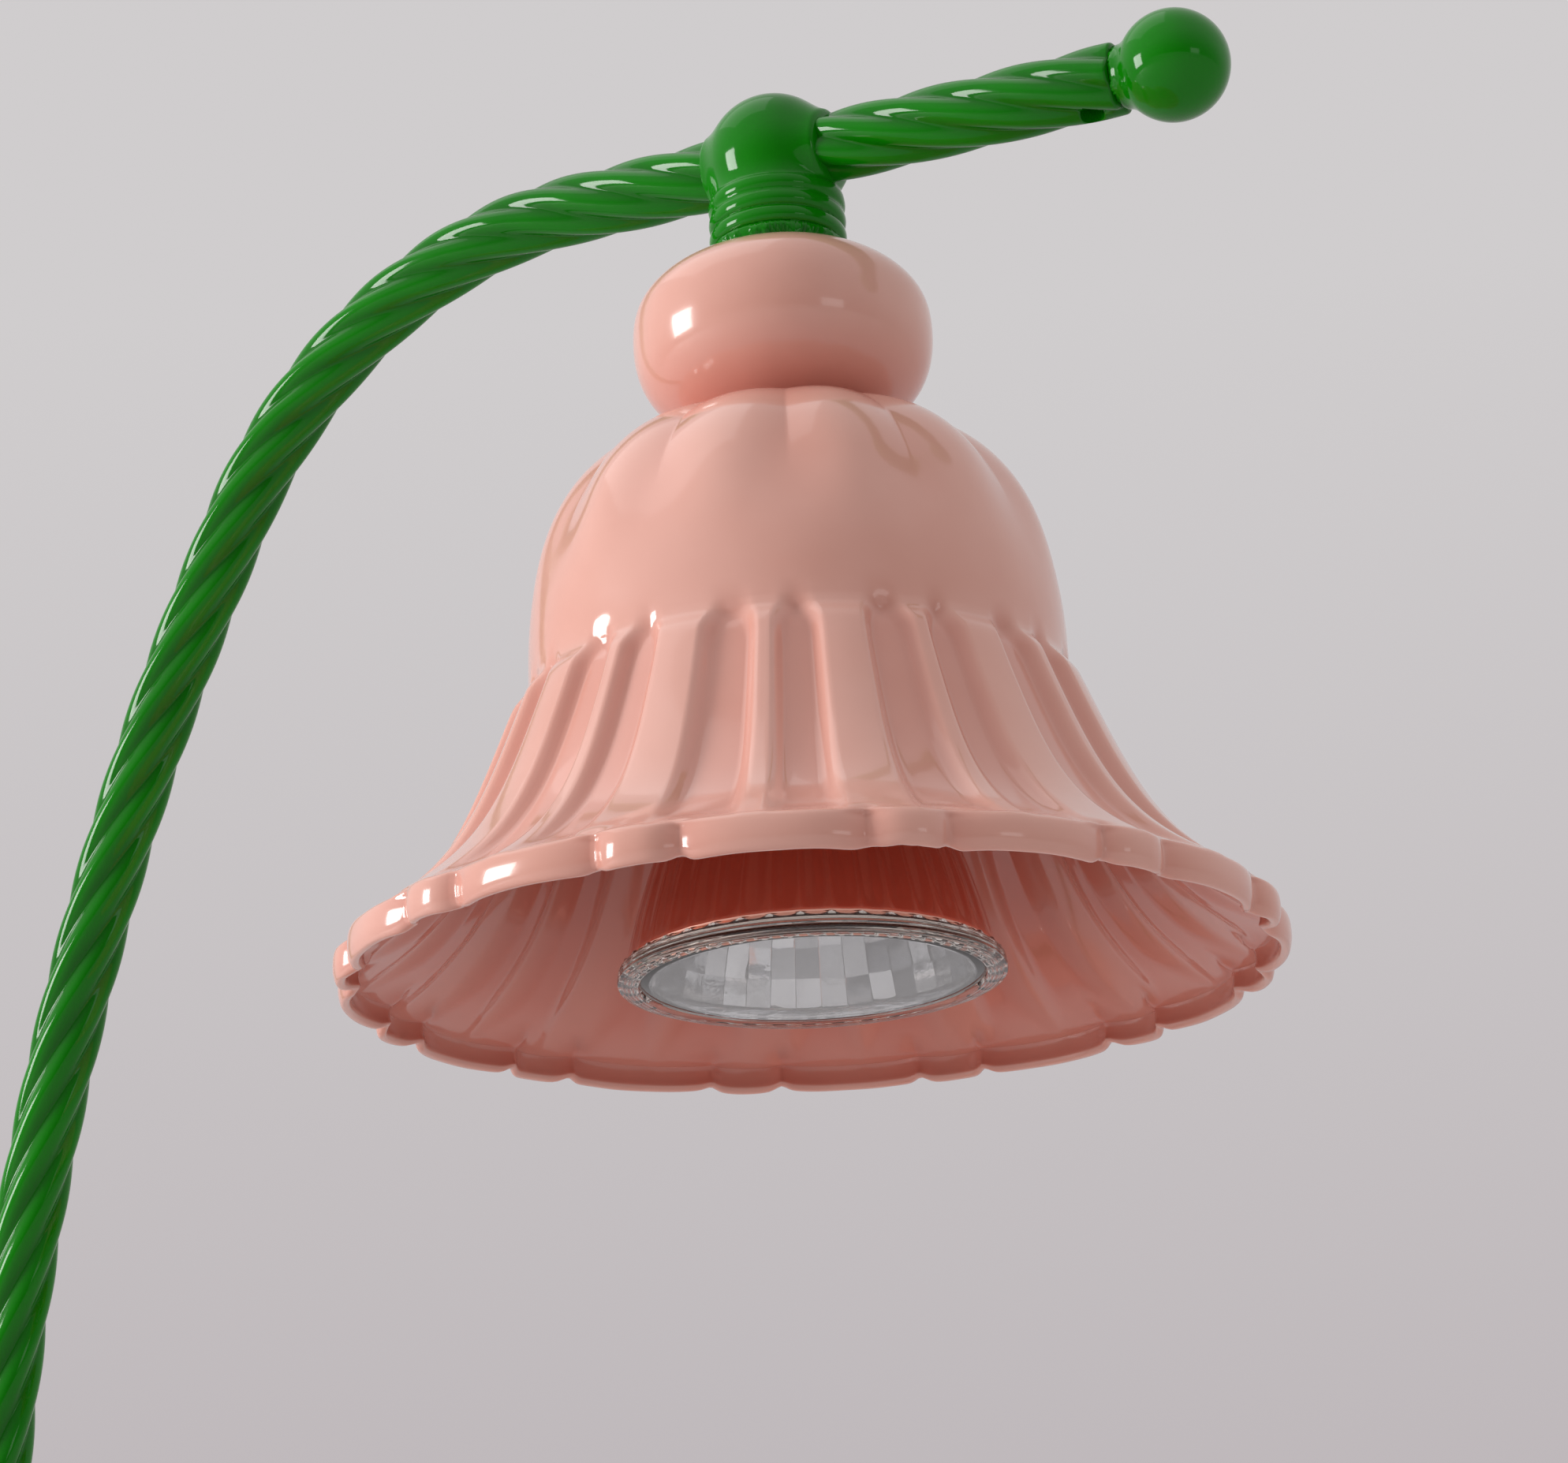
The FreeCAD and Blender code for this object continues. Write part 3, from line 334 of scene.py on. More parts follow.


# the pooled colour in each look is the darker one laid in where the enamel pools and as painted shade in
# hollows and on the shade's inner skin
pinkLook = {
    "colour": (0.84, 0.450, 0.370), "deeper": (0.80, 0.405, 0.325), "pooledAndShaded": (0.64, 0.185, 0.130),
    "shadeAndPoolShare": 0.85, "pinhole": (0.22, 0.07, 0.05), "pinholeSize": 0.022, "pinholeTint": 0.75,
    "gloss": (0.10, 0.19), "shine": 0.5, "coat": 0.35, "coatRoughness": 0.04, "waves": 0.10,
    "peel": 0.05}
greenLook = {
    "colour": (0.004, 0.225, 0.001), "deeper": (0.003, 0.180, 0.001),
    "pooledAndShaded": (0.002, 0.085, 0.001), "shadeAndPoolShare": 0.6, "pinhole": (0.001, 0.02, 0.001),
    "pinholeSize": 0.018, "pinholeTint": 0.75, "gloss": (0.06, 0.13), "shine": 0.25, "coat": 0.08,
    "coatRoughness": 0.03, "waves": 0.14, "peel": 0.08}
metalLooks = {
    "zinc_steel": ("zincPlatedSteel", (0.62, 0.62, 0.60), (0.48, 0.48, 0.47), (0.22, 0.42), 700),
    "iron": ("castIron", (0.12, 0.12, 0.13), (0.06, 0.05, 0.05), (0.55, 0.85), 420, 0.8),
    "bare_brass": ("bareBrass", (0.78, 0.58, 0.28), (0.62, 0.42, 0.18), (0.2, 0.4), 600),
    "nickel_pin": ("nickelPin", (0.70, 0.67, 0.60), (0.58, 0.55, 0.49), (0.15, 0.3), 600),
}
mouldedLooks = {
    "cover_steel": ("blackCoverPaint", (0.055, 0.055, 0.058), (0.035, 0.035, 0.037),
                    (0.38, 0.55), 900, 0.0002),
    "pad_rubber": ("padRubber", (0.04, 0.04, 0.04), (0.025, 0.025, 0.026), (0.7, 0.95), 1200, 0.0003),
    "grommet_rubber": ("grommetRubber", (0.045, 0.045, 0.047), (0.03, 0.03, 0.03), (0.5, 0.75), 900, 0.0002),
    "block_plastic": ("blockPlastic", (0.78, 0.76, 0.69), (0.70, 0.68, 0.60), (0.35, 0.5), 500, 0.0001),
    "dimmer_plastic": ("dimmerPlastic", (0.07, 0.07, 0.075), (0.05, 0.05, 0.05), (0.4, 0.6), 700, 0.0002),
    "shaft_plastic": ("shaftPlastic", (0.66, 0.66, 0.63), (0.58, 0.58, 0.55), (0.3, 0.45), 500, 0.0001),
    "lead_brown": ("brownLead", (0.17, 0.06, 0.025), (0.13, 0.045, 0.02), (0.45, 0.65), 700, 0.0001),
    "lead_blue": ("blueLead", (0.04, 0.13, 0.38), (0.03, 0.10, 0.30), (0.45, 0.65), 700, 0.0001),
    "holder_ceramic": ("glazedSteatite", (0.82, 0.79, 0.72), (0.74, 0.71, 0.63), (0.18, 0.35), 300, 0.0002),
    "bulb_ceramic": ("bareSteatite", (0.76, 0.73, 0.66), (0.66, 0.63, 0.55), (0.55, 0.8), 600, 0.0003),
}
glassLooks = {
    "reflector_glass": ("pressedGlass", (0.90, 0.86, 0.81), (0.84, 0.79, 0.74), 0.15),
    "front_glass": ("frontGlass", (0.985, 0.99, 0.99), (0.97, 0.98, 0.985), 0.02),
    "quartz": ("quartz", (0.98, 0.985, 0.99), (0.95, 0.96, 0.97), 0.10),
}
finishes = {"green_enamel": enamel("greenEnamel", greenLook), "pink_enamel": enamel("pinkEnamel", pinkLook),
            "knob_plastic": enamel("knobLacquer", greenLook)}
for maker, looks in ((metal, metalLooks), (moulded, mouldedLooks), (clearGlass, glassLooks)):
    for slotName, look in looks.items():
        finishes[slotName] = maker(*look)
print("finishes made:", len(finishes))


# Camera, at the photograph's viewing angle

cameraLook = {
    "place": (0.3697, -0.4067, 0.0415), "heading": (-0.5, 0.8660254), "pitch": 18.62, "roll": 2.6,
    "lens": 86.92, "sensor": 36.0}


def viewAxes(look):
    pitch = math.radians(look["pitch"])
    roll = math.radians(look["roll"])
    level = Vector((look["heading"][0], look["heading"][1], 0))
    forward = level * math.cos(pitch) + Vector((0, 0, math.sin(pitch)))
    right = Vector((level.y, -level.x, 0))
    up = right.cross(forward)
    across = right * math.cos(roll) - up * math.sin(roll)
    return across, right * math.sin(roll) + up * math.cos(roll), forward


def placeCamera(look):
    right, up, forward = viewAxes(look)
    data = bpy.data.cameras.new("photoCamera")
    data.sensor_width = look["sensor"]
    data.lens = look["lens"]
    data.dof.use_dof = False
    data.clip_start = 0.01
    camera = added("photoCamera", data)
    turn = Matrix((right, up, -forward)).transposed().to_4x4()
    camera.matrix_world = Matrix.Translation(look["place"]) @ turn
    bpy.context.scene.camera = camera


placeCamera(cameraLook)
print("camera placed")


# Shade: a smooth dome with soft lobes over a fluted bell with a pillowed hem

shadeShape = {
    "crown": 13.5, "bore": 5.1, "crownSteps": (8.0, 11.0), "shoulder": 39.8, "shoulderRadius": 35.4,
    "fullness": 2.8, "rim": 61.0, "wall": 1.5, "hem": 5.5, "hemLedge": 2.2,
    "flareSlope": 0.62, "flareCurl": 0.40, "flarePower": 5, "flareStart": 0.03,
    "hemInward": ((1.5, 5.02), (0.72, 4.72), (0.28, 4.2), (0.06, 3.4), (0.0, 2.4), (0.10, 1.2),
                  (0.32, 0.45)),
    "footInward": ((0.55, 0.10), (0.95, 0.0), (1.40, 0.12)),
    "flutes": 12, "fluteDepth": 1.95, "ribs": ((0.783, 0.15), (0.25, 0.33)), "ribEdge": 0.085,
    "ribStep": 1.3, "ribStepLength": 0.10, "ribRound": 0.22,
    "archSoft": 2.6, "archRise": 0.4, "archSlope": 0.55,
    "footSoft": 1.0, "footRise": 0.2, "footSlope": 0.8,
    "skins": {"outer": {"flute": 1.0, "edge": 1.0}, "inner": {"flute": 0.85, "edge": 1.9}},
    "lobeDepth": 1.35, "lobeTurn": 1.0, "lobeFrom": 0.14, "lobeOver": 0.56,
    "lobeFade": 0.45, "fadeFrom": 0.86, "creaseFrom": 0.45, "creaseOver": 0.3,
    "pillowBulge": 2.0, "pillowStart": 0.19, "pillowNarrow": 0.32, "pillowPower": 2.6,
    "notchDeep": 0.9, "notchWide": 1.15, "wornAngle": 309.5, "wornSpread": 3.4, "wearHeight": 3.2,
    "drift": ((3, 0.35), (5, 0.28), (7, 0.2), (13, 0.12)),
    # the tint shares give how much painted shade, with some enamel pooling, darkens the flute recesses, lobe
    # valleys, hem creases and the whole inner skin
    "tint": {"flute": 0.3, "lobe": 0.2, "pillow": 0.35, "inside": 0.7}}


def domeOutline(shape, count):
    power = 2 / shape["fullness"]
    height = shadeTop - rimHeight
    start = math.acos((shape["crown"] / shape["shoulderRadius"]) ** (1 / power))
    turn = np.linspace(start, 0, count)
    share = np.sin(turn) ** power / math.sin(start) ** power
    return np.stack([shape["shoulderRadius"] * np.cos(turn) ** power,
                     shape["shoulder"] + (height - shape["shoulder"]) * share], axis=1)


def bellOutline(shape, count):
    share = np.linspace(0, 1, count)[1:]
    soft = shape["flareStart"]
    start = np.sqrt(share ** 2 + soft ** 2) - soft
    growth = shape["flareSlope"] * start + shape["flareCurl"] * share ** shape["flarePower"]
    crease = shape["rim"] - shape["hemLedge"]
    ribs = shape["shoulderRadius"] + shape["ribStep"] * softStep(share / shape["ribStepLength"])
    return np.stack([ribs + (crease - ribs) * growth,
                     shape["shoulder"] - (shape["shoulder"] - shape["hem"]) * share], axis=1)


def fromRim(shape, knots):
    # knots of (distance inward from the rim, height) as points of an outline
    return [(shape["rim"] - inward, height) for inward, height in knots]


def outerOutline(shape):
    crown = [(radius, shadeTop - rimHeight) for radius in (shape["bore"], *shape["crownSteps"])]
    hem = curveThrough(fromRim(shape, shape["hemInward"]), 24)
    line = np.concatenate([crown, domeOutline(shape, 44), bellOutline(shape, 62), hem])
    return eased(line, 1)


def innerOutline(shape, outer):
    # one wall further in, read from the rim up to the crown, with half as many rows
    line = eased(movedIn(outer, -shape["wall"])[4:], 3)[::-1][::2]
    line = line[line[:, 0] > shape["bore"] + 6]
    roof = shadeTop - rimHeight - shape["wall"]
    return np.concatenate([line, [(9.0, roof), (shape["bore"], roof)]])


def fluteCut(shape, angle, radius, height, soft):
    # 1 in the recesses between the ribs, 0 on the ribs, the dome and the hem
    pitch = 360 / shape["flutes"]
    arc = math.radians(pitch) * radius
    inside = np.full(np.broadcast(angle, radius).shape, 99.0)
    for centre, width in shape["ribs"]:
        away = np.abs((angle / pitch - centre + 0.5) % 1.0 - 0.5)
        inside = np.minimum(inside, (away - width / 2) * arc)
    edge = shape["ribEdge"] * soft * arc / 2
    fromTop = (shape["shoulder"] + shape["archRise"] - height) * shape["archSlope"] - edge
    fromHem = (height - shape["hem"] - shape["footRise"]) * shape["footSlope"]
    inside = softMin(inside, fromTop, shape["archSoft"])
    inside = softMin(inside, fromHem, shape["footSoft"])
    return softStep(0.5 + inside / (2 * edge))


def ribCrown(shape, angle):
    # the wide rib is a little round across
    pitch = 360 / shape["flutes"]
    centre, width = shape["ribs"][1]
    away = np.abs((angle / pitch - centre + 0.5) % 1.0 - 0.5) / (width / 2)
    return np.clip(1 - away ** 2, 0, 1)


def lobeCut(shape, angle, height):
    pitch = 360 / shape["flutes"]
    share = (height - shape["shoulder"]) / (shadeTop - rimHeight - shape["shoulder"])
    wave = np.abs(np.sin(math.pi * (angle + shape["lobeTurn"]) / pitch))
    sharp = 1 - wave
    rounded = 1 - wave ** 2
    crease = softStep((share - shape["creaseFrom"]) / shape["creaseOver"])
    cut = rounded * (1 - crease) + sharp * crease
    fade = shape["lobeFade"] * softStep((share - shape["fadeFrom"]) / (1 - shape["fadeFrom"]))
    strength = softStep((share - shape["lobeFrom"]) / shape["lobeOver"]) * (1 - fade)
    return cut * strength


def pillowPlace(shape, angle):
    # where along its pillow a point of the hem is: 0 and 1 in the creases
    at = (angle / (360 / shape["flutes"]) - shape["pillowStart"]) % 1.0
    narrow = shape["pillowNarrow"]
    return np.where(at < narrow, at / narrow, (at - narrow) / (1 - narrow))


def creaseDistance(shape, angle):
    # millimetres along the rim to the nearest crease
    at = (angle / (360 / shape["flutes"]) - shape["pillowStart"]) % 1.0
    arc = math.radians(360 / shape["flutes"]) * shape["rim"]
    return np.minimum(np.minimum(at, 1 - at), np.abs(at - shape["pillowNarrow"])) * arc


def unevenAngle(shape, angle):
    # the flutes of a hand-finished mould aren't quite evenly spaced
    drift = np.zeros_like(angle)
    for turns, size in shape["drift"]:
        drift += size * np.sin(turns * np.radians(angle) + chance.uniform(0, 2 * math.pi))
    return angle + drift


def edgeNoise(angle, waves, spread):
    total = np.zeros_like(angle)
    for turns in waves:
        total += chance.uniform(0.4, 1.0) * np.sin(turns * np.radians(angle) + chance.uniform(0, 2 * math.pi))
    return total * spread / math.sqrt(len(waves))


def shapedRows(shape, outline, angle, warped, share, footWear):
    # the patterns cut into one skin; returns its points and how much painted shade, with some enamel pooling,
    # darkens each one: more in the recesses, lobe valleys and hem creases
    radius = outline[:, :1]
    height = outline[:, 1:]
    lobes = lobeCut(shape, warped, height)
    flutes = fluteCut(shape, warped, radius, height, share["edge"])
    onHem = softStep((shape["hem"] + 0.3 - height) / 1.9)
    pillow = np.abs(2 * pillowPlace(shape, warped) - 1) ** shape["pillowPower"]
    onBell = softStep((shape["shoulder"] - height) / 6) * softStep((height - shape["hem"]) / 4)
    cut = (shape["lobeDepth"] * lobes + shape["fluteDepth"] * flutes * share["flute"]
           + shape["pillowBulge"] * pillow * onHem - shape["ribRound"] * ribCrown(shape, warped) * onBell)
    lift = footWear * np.clip(1 - height / shape["wearHeight"], 0, 1) ** 2
    spread = radius - cut
    turn = np.radians(angle)
    points = np.stack([shadeAxis + spread * np.cos(turn), spread * np.sin(turn),
                       rimHeight + np.broadcast_to(height, spread.shape) + lift], axis=2)
    tint = shape["tint"]
    paintedLightAndPool = flutes * tint["flute"] + lobes * tint["lobe"] + pillow * onHem * tint["pillow"]
    return points.reshape(-1, 3), np.clip(paintedLightAndPool, 0, 1).ravel()


def makeShade(shape):
    columns = shape["flutes"] * 56
    angle = 360 * np.arange(columns) / columns
    warped = unevenAngle(shape, angle)
    crease = creaseDistance(shape, warped)
    deep = 0.35 + 0.65 * (0.5 + 0.5 * np.sin(angle * 0.37 + 2.0) * np.cos(angle * 0.11))
    notch = shape["notchDeep"] * deep * np.exp(-(crease / shape["notchWide"]) ** 2)
    worn = np.exp(-((angle - shape["wornAngle"]) / shape["wornSpread"]) ** 2)   # a rough stretch of the edge
    rough = edgeNoise(angle, (211, 257, 301, 337), 0.22) * worn
    footWear = notch + np.abs(rough) + edgeNoise(angle, (17, 29, 41), 0.07) + 0.08
    outer = outerOutline(shape)
    inner = innerOutline(shape, outer)
    foot = curveThrough([outer[-1], *fromRim(shape, shape["footInward"]), inner[0]], 9)[1:-1]
    skins = shape["skins"]
    outerPoints, outerShadeAndPool = shapedRows(shape, np.concatenate([outer, foot]), angle, warped, skins["outer"],
                                        footWear)
    innerPoints, innerShadeAndPool = shapedRows(shape, inner, angle, warped, skins["inner"], footWear)
    points = np.concatenate([outerPoints, innerPoints])
    rows = len(points) // columns
    shade = makePiece("shade", points, gridFaces(rows, columns, True), "lamp", "pink_enamel", ["shade"])
    # painted shade: the whole inner skin is darkened, and more in its recesses
    inside = np.clip(shape["tint"]["inside"] + innerShadeAndPool, 0, 1)
    addMeasure(shade, "paintedLightAndPool", np.concatenate([outerShadeAndPool, inside]))


makeShade(shadeShape)
print("shade made")


# Bead between the coupling and the shade

beadShape = {
    "radius": 20.2, "wall": 1.6, "bore": 5.1, "columns": 160, "wobble": (0.06, 0.04),
    "paintedShadeHeight": 9.0, "paintedShadeMost": 0.5,
    "shares": ((0.46, 0.0), (0.684, 0.096), (0.835, 0.179), (0.947, 0.304), (1.0, 0.54),
               (0.965, 0.71), (0.86, 0.83), (0.68, 0.93), (0.46, 1.0))}


def makeBead(shape):
    tall = beadTop - shadeTop
    knots = [(shape["radius"] * across, shadeTop + tall * up) for across, up in shape["shares"]]
    outer = curveThrough(knots, 64)
    inner = movedIn(outer, shape["wall"])[6:-6][::-1]
    roof = [(shape["bore"], beadTop), (shape["bore"], beadTop - shape["wall"])]
    floor = [(shape["bore"], shadeTop + shape["wall"]), (shape["bore"], shadeTop)]
    outline = np.concatenate([outer, roof, inner, floor])
    columns = shape["columns"]

    def wobble(angle, row):
        twice, thrice = shape["wobble"]
        return twice * np.sin(2 * angle + 0.6) + thrice * np.sin(3 * angle + row * 0.05)

    points = turnedPoints(outline, columns, shadeAxis, wobble)
    bead = makePiece("beadCover", points, gridFaces(len(outline), columns, True), "lamp", "pink_enamel",
                     ["bead_cover"])
    # painted shade: the bead is darker towards its foot, where it sits on the shade
    low = np.clip(1 - (points[:, 2] - shadeTop) / shape["paintedShadeHeight"], 0, 1)
    addMeasure(bead, "paintedLightAndPool", low * shape["paintedShadeMost"])


makeBead(beadShape)
print("bead made")


# Stem: one twisted tube, straight, then a long bend, a tight bend and the arm

stemShape = {
    "radius": 4.9, "ridges": 6, "ridgeDepth": 0.95, "lead": 71.0, "valleySoft": 0.13,
    "straight": 61.2, "bend": 64.0, "slope": 4.0, "bendStart": 33.0, "stub": 52.3,
    "ballRadius": 9.3, "drainRadius": 1.6, "drainInset": 4.0, "step": 1.1, "ridgeColumns": 18,
    "footRings": (0.55, 0.94), "endRings": ((0.985, 0.25), (0.94, 0.45), (0.6, 0.5))}

ballCentre = np.array([shadeAxis, 0.0, couplingTop - stemShape["ballRadius"]])
slope = math.radians(stemShape["slope"])
armHeading = np.array([math.cos(slope), 0.0, -math.sin(slope)])


def stemLine(shape):
    # points, headings and lengths along the stem, worked out as runs and arcs in the XZ plane
    wholeTurn = math.radians(90 + shape["slope"])
    bendEnd = ballCentre - armHeading * shape["bendStart"]
    across = bendEnd[0] - shape["bend"] * (1 - math.cos(wholeTurn))
    rise = bendEnd[2] - stemFoot - shape["straight"] - shape["bend"] * math.sin(wholeTurn)
    lean = 2 * math.atan(across / rise)
    longBend = shape["bend"] + rise / math.sin(lean)
    runs = [(shape["straight"], 0.0), (longBend * lean, lean),
            (shape["bend"] * (wholeTurn - lean), wholeTurn - lean), (shape["bendStart"] + shape["stub"], 0.0)]
    place = np.array([0.0, 0.0, stemFoot])
    tilt = 0.0
    travelled = 0.0
    stations = [(place.copy(), tilt, 0.0)]
    for length, turn in runs:
        count = max(2, round(length / shape["step"]))
        for i in range(count):
            middle = tilt + turn / count / 2
            chord = length / count if turn == 0 else 2 * length / turn * math.sin(turn / count / 2)
            place = place + chord * np.array([math.sin(middle), 0, math.cos(middle)])
            tilt += turn / count
            travelled += length / count
            stations.append((place.copy(), tilt, travelled))
    return stations


def stemRing(shape, station, columns, shrink=1.0, ahead=0.0):
    place, tilt, travelled = station
    heading = np.array([math.sin(tilt), 0, math.cos(tilt)])
    side = np.array([0.0, 1.0, 0.0])
    across = np.cross(heading, side)
    angle = 2 * math.pi * np.arange(columns) / columns
    crest = np.sqrt(np.cos(shape["ridges"] * angle / 2) ** 2 + shape["valleySoft"] ** 2) \
        / math.sqrt(1 + shape["valleySoft"] ** 2)
    radius = (shape["radius"] - shape["ridgeDepth"] * (1 - crest)) * shrink
    turned = angle + 2 * math.pi * travelled / shape["lead"]
    ring = place + heading * ahead + np.outer(radius * np.cos(turned), side)
    # the second value is painted shade, with some enamel pooling, that darkens the ridge valleys
    return ring + np.outer(radius * np.sin(turned), across), 1 - crest


def makeStem(shape):
    columns = shape["ridges"] * shape["ridgeColumns"]
    stations = stemLine(shape)
    rows, valleyShadeAndPool = [], []
    sections = [(stations[0], shrink, 0.0) for shrink in shape["footRings"]]
    sections += [(station, 1.0, 0.0) for station in stations]
    sections += [(stations[-1], shrink, ahead) for shrink, ahead in shape["endRings"]]
    for station, shrink, ahead in sections:
        ring, paintedLightAndPool = stemRing(shape, station, columns, shrink, ahead)
        rows.append(ring)
        valleyShadeAndPool.append(paintedLightAndPool)
    stem = makePiece("stem", np.concatenate(rows), cappedFaces(len(rows), columns), "lamp", "green_enamel",
                     ["stem_tube"])
    addMeasure(stem, "paintedLightAndPool", np.concatenate(valleyShadeAndPool))
    drillHole(stem, ballCentre + armHeading * (shape["stub"] - shape["drainInset"]), shape["drainRadius"])


def drillHole(piece, place, radius):
    # a blind hole from below, up to near the middle of the tube
    length, below = 8.0, 4.6
    work = bmesh.new()
    bmesh.ops.create_cone(work, cap_ends=True, segments=40, radius1=radius * mm, radius2=radius * mm,
                          depth=length * mm)
    mesh = bpy.data.meshes.new("drill")
    work.to_mesh(mesh)
    work.free()
    drill = added("drill", mesh)
    drill.location = Vector(place * mm) - Vector((0, 0, below * mm))
    cut = piece.modifiers.new("drain", "BOOLEAN")
    cut.operation = "DIFFERENCE"
    cut.solver = "EXACT"
    cut.object = drill
    applyModifiers(piece)
    bpy.data.objects.remove(drill)


def applyModifiers(piece):
    bpy.context.view_layer.update()
    depsgraph = bpy.context.evaluated_depsgraph_get()
    mesh = bpy.data.meshes.new_from_object(piece.evaluated_get(depsgraph))
    piece.modifiers.clear()
    piece.data = mesh


makeStem(stemShape)
print("stem made")


# Coupling and finial: shapes melted together where the enamel fills their corners

def sculpt(name, distance, balls, shape, rounds=7):
    # a fine skin over rough balls, drawn onto the surface where the distance is nought
    work = bmesh.new()
    for centre, radius in balls:
        made = bmesh.ops.create_icosphere(work, subdivisions=4, radius=radius * mm)
        bmesh.ops.translate(work, verts=made["verts"], vec=Vector(np.array(centre) * mm))
    mesh = bpy.data.meshes.new(name)
    work.to_mesh(mesh)
    work.free()
    rough = added(name, mesh)
    skin = rough.modifiers.new("skin", "REMESH")
    skin.mode = "VOXEL"
    skin.voxel_size = shape["voxel"] * mm
    applyModifiers(rough)
    mesh = rough.data
    points = np.empty(len(mesh.vertices) * 3)
    mesh.vertices.foreach_get("co", points)
    points = points.reshape(-1, 3) / mm
    edges = np.empty(len(mesh.edges) * 2, int)
    mesh.edges.foreach_get("vertices", edges)
    edges = edges.reshape(-1, 2)
    faces = [tuple(face.vertices) for face in mesh.polygons]
    for step in range(rounds):
        points = evened(points, edges) if step < rounds - 1 else points
        for pull in range(4):
            points = drawnOn(points, distance)
    bpy.data.objects.remove(rough)
    return points, faces


def evened(points, edges):
    total = np.zeros_like(points)
    count = np.zeros(len(points))
    for one, other in ((0, 1), (1, 0)):
        np.add.at(total, edges[:, one], points[edges[:, other]])
        np.add.at(count, edges[:, one], 1)
    return points * 0.5 + 0.5 * total / count[:, None]


def drawnOn(points, distance):
    small = 0.02
    away = distance(points)
    slopes = np.stack([(distance(points + small * axis) - away) / small for axis in np.eye(3)], axis=1)
    size = np.maximum((slopes ** 2).sum(axis=1), 0.2)
    return points - slopes * (np.clip(away, -0.8, 0.8) / size)[:, None]


def roundBar(points, centre, heading, radius, halfLength, corner):
    # distance to a bar with rounded ends' edges
    offset = points - centre
    along = np.abs(offset @ heading) - halfLength + corner
    out = np.linalg.norm(offset - np.outer(offset @ heading, heading), axis=1) - radius + corner
    return np.minimum(np.maximum(along, out), 0) + np.hypot(np.maximum(along, 0), np.maximum(out, 0)) - corner


couplingShape = {
    "ball": 9.3, "neck": 9.4, "rings": 4, "ringDepth": 0.75, "ringPitch": 2.4, "throat": 8.6,
    "sunk": 0.7, "neckMelt": 0.8, "neckFill": (4.0, 7.5), "boss": 5.2, "bossReach": 8.8,
    "bossCorner": 0.25, "bossMelt": 2.4, "bossFill": 6.0, "voxel": 0.26, "quickVoxel": 0.45}


def couplingDistance(points):
    shape = couplingShape
    ball = np.linalg.norm(points - ballCentre, axis=1) - shape["ball"]
    out = np.hypot(points[:, 0] - shadeAxis, points[:, 1])
    level = (points[:, 2] - beadTop) / shape["ringPitch"]
    along = level % 1.0
    ring = shape["neck"] - shape["ringDepth"] * (1 - 2 * np.sqrt(np.clip(along * (1 - along), 0.004, 1)))
    ring = ring + (shape["throat"] - ring) * softStep((level - shape["rings"]) / 0.3 + 0.5)
    ends = np.maximum(beadTop - shape["sunk"] - points[:, 2], points[:, 2] - ballCentre[2])
    neck = np.maximum(out - ring, ends)
    boss = roundBar(points, ballCentre, armHeading, shape["boss"], shape["bossReach"], shape["bossCorner"])
    body = softMin(ball, neck, shape["neckMelt"])
    return softMin(body, boss, shape["bossMelt"])


def makeCoupling():
    shape = couplingShape
    reach = shape["bossFill"]
    balls = [(ballCentre, shape["ball"])]
    balls += [(ballCentre - np.array([0, 0, below]), shape["neck"]) for below in shape["neckFill"]]
    balls += [(ballCentre + armHeading * along, shape["boss"]) for along in (-reach, reach)]
    points, faces = sculpt("couplingRough", couplingDistance, balls, shape)
    makePiece("ballCoupling", points, faces, "lamp", "green_enamel", ["ball_coupling"])


finialShape = {
    "ball": 7.4, "neck": 4.3, "neckLength": 1.4, "sink": 0.9, "melt": 1.1, "weldMiddle": 3.0,
    "weldHalf": 2.8, "weldCorner": 0.4, "fillAt": 3.4, "fillRadius": 4.0, "voxel": 0.32,
    "quickVoxel": 0.5}
stemEnd = ballCentre + armHeading * stemShape["stub"]
finialCentre = stemEnd + armHeading * (finialShape["neckLength"] + finialShape["ball"] * finialShape["sink"])


def finialDistance(points):
    shape = finialShape
    ball = np.linalg.norm(points - finialCentre, axis=1) - shape["ball"]
    neckMiddle = stemEnd + armHeading * shape["weldMiddle"]
    neck = roundBar(points, neckMiddle, armHeading, shape["neck"], shape["weldHalf"], shape["weldCorner"])
    return softMin(ball, neck, shape["melt"])


def makeFinial():
    shape = finialShape
    balls = [(finialCentre, shape["ball"]), (stemEnd + armHeading * shape["fillAt"], shape["fillRadius"])]
    points, faces = sculpt("finialRough", finialDistance, balls, shape)
    makePiece("finialBall", points, faces, "lamp", "green_enamel", ["finial_ball"])


makeCoupling()
makeFinial()
print("coupling and finial made")


# Bulb: fluted glass bowl, ringed lip, faceted mirror, front glass and burner

bulbShape = {
    "radius": 25.0, "lip": 2.6, "lipStep": 1.2, "wall": 1.5, "depth": 33.9, "neck": 10.8,
    "flutes": 40, "fluteDepth": 0.14, "facetRows": 8, "facetColumns": 40, "facetTilt": 0.11,
    "facetGap": 0.03, "facetSpread": 1.035, "columnShare": 0.55, "mirrorGap": 0.14,
    "bandStart": 2.15, "bandHeight": 3.4, "lipRows": 33, "frontGrooves": (4, 0.10),
    "sideGrooves": (3, 0.13), "cusp": 0.45, "columns": 160, "burner": 4.6, "burnerWall": 0.75,
    "burnerTip": 1.1, "burnerColumns": 72}
burnerBox = boxOf("bulb_capsule")


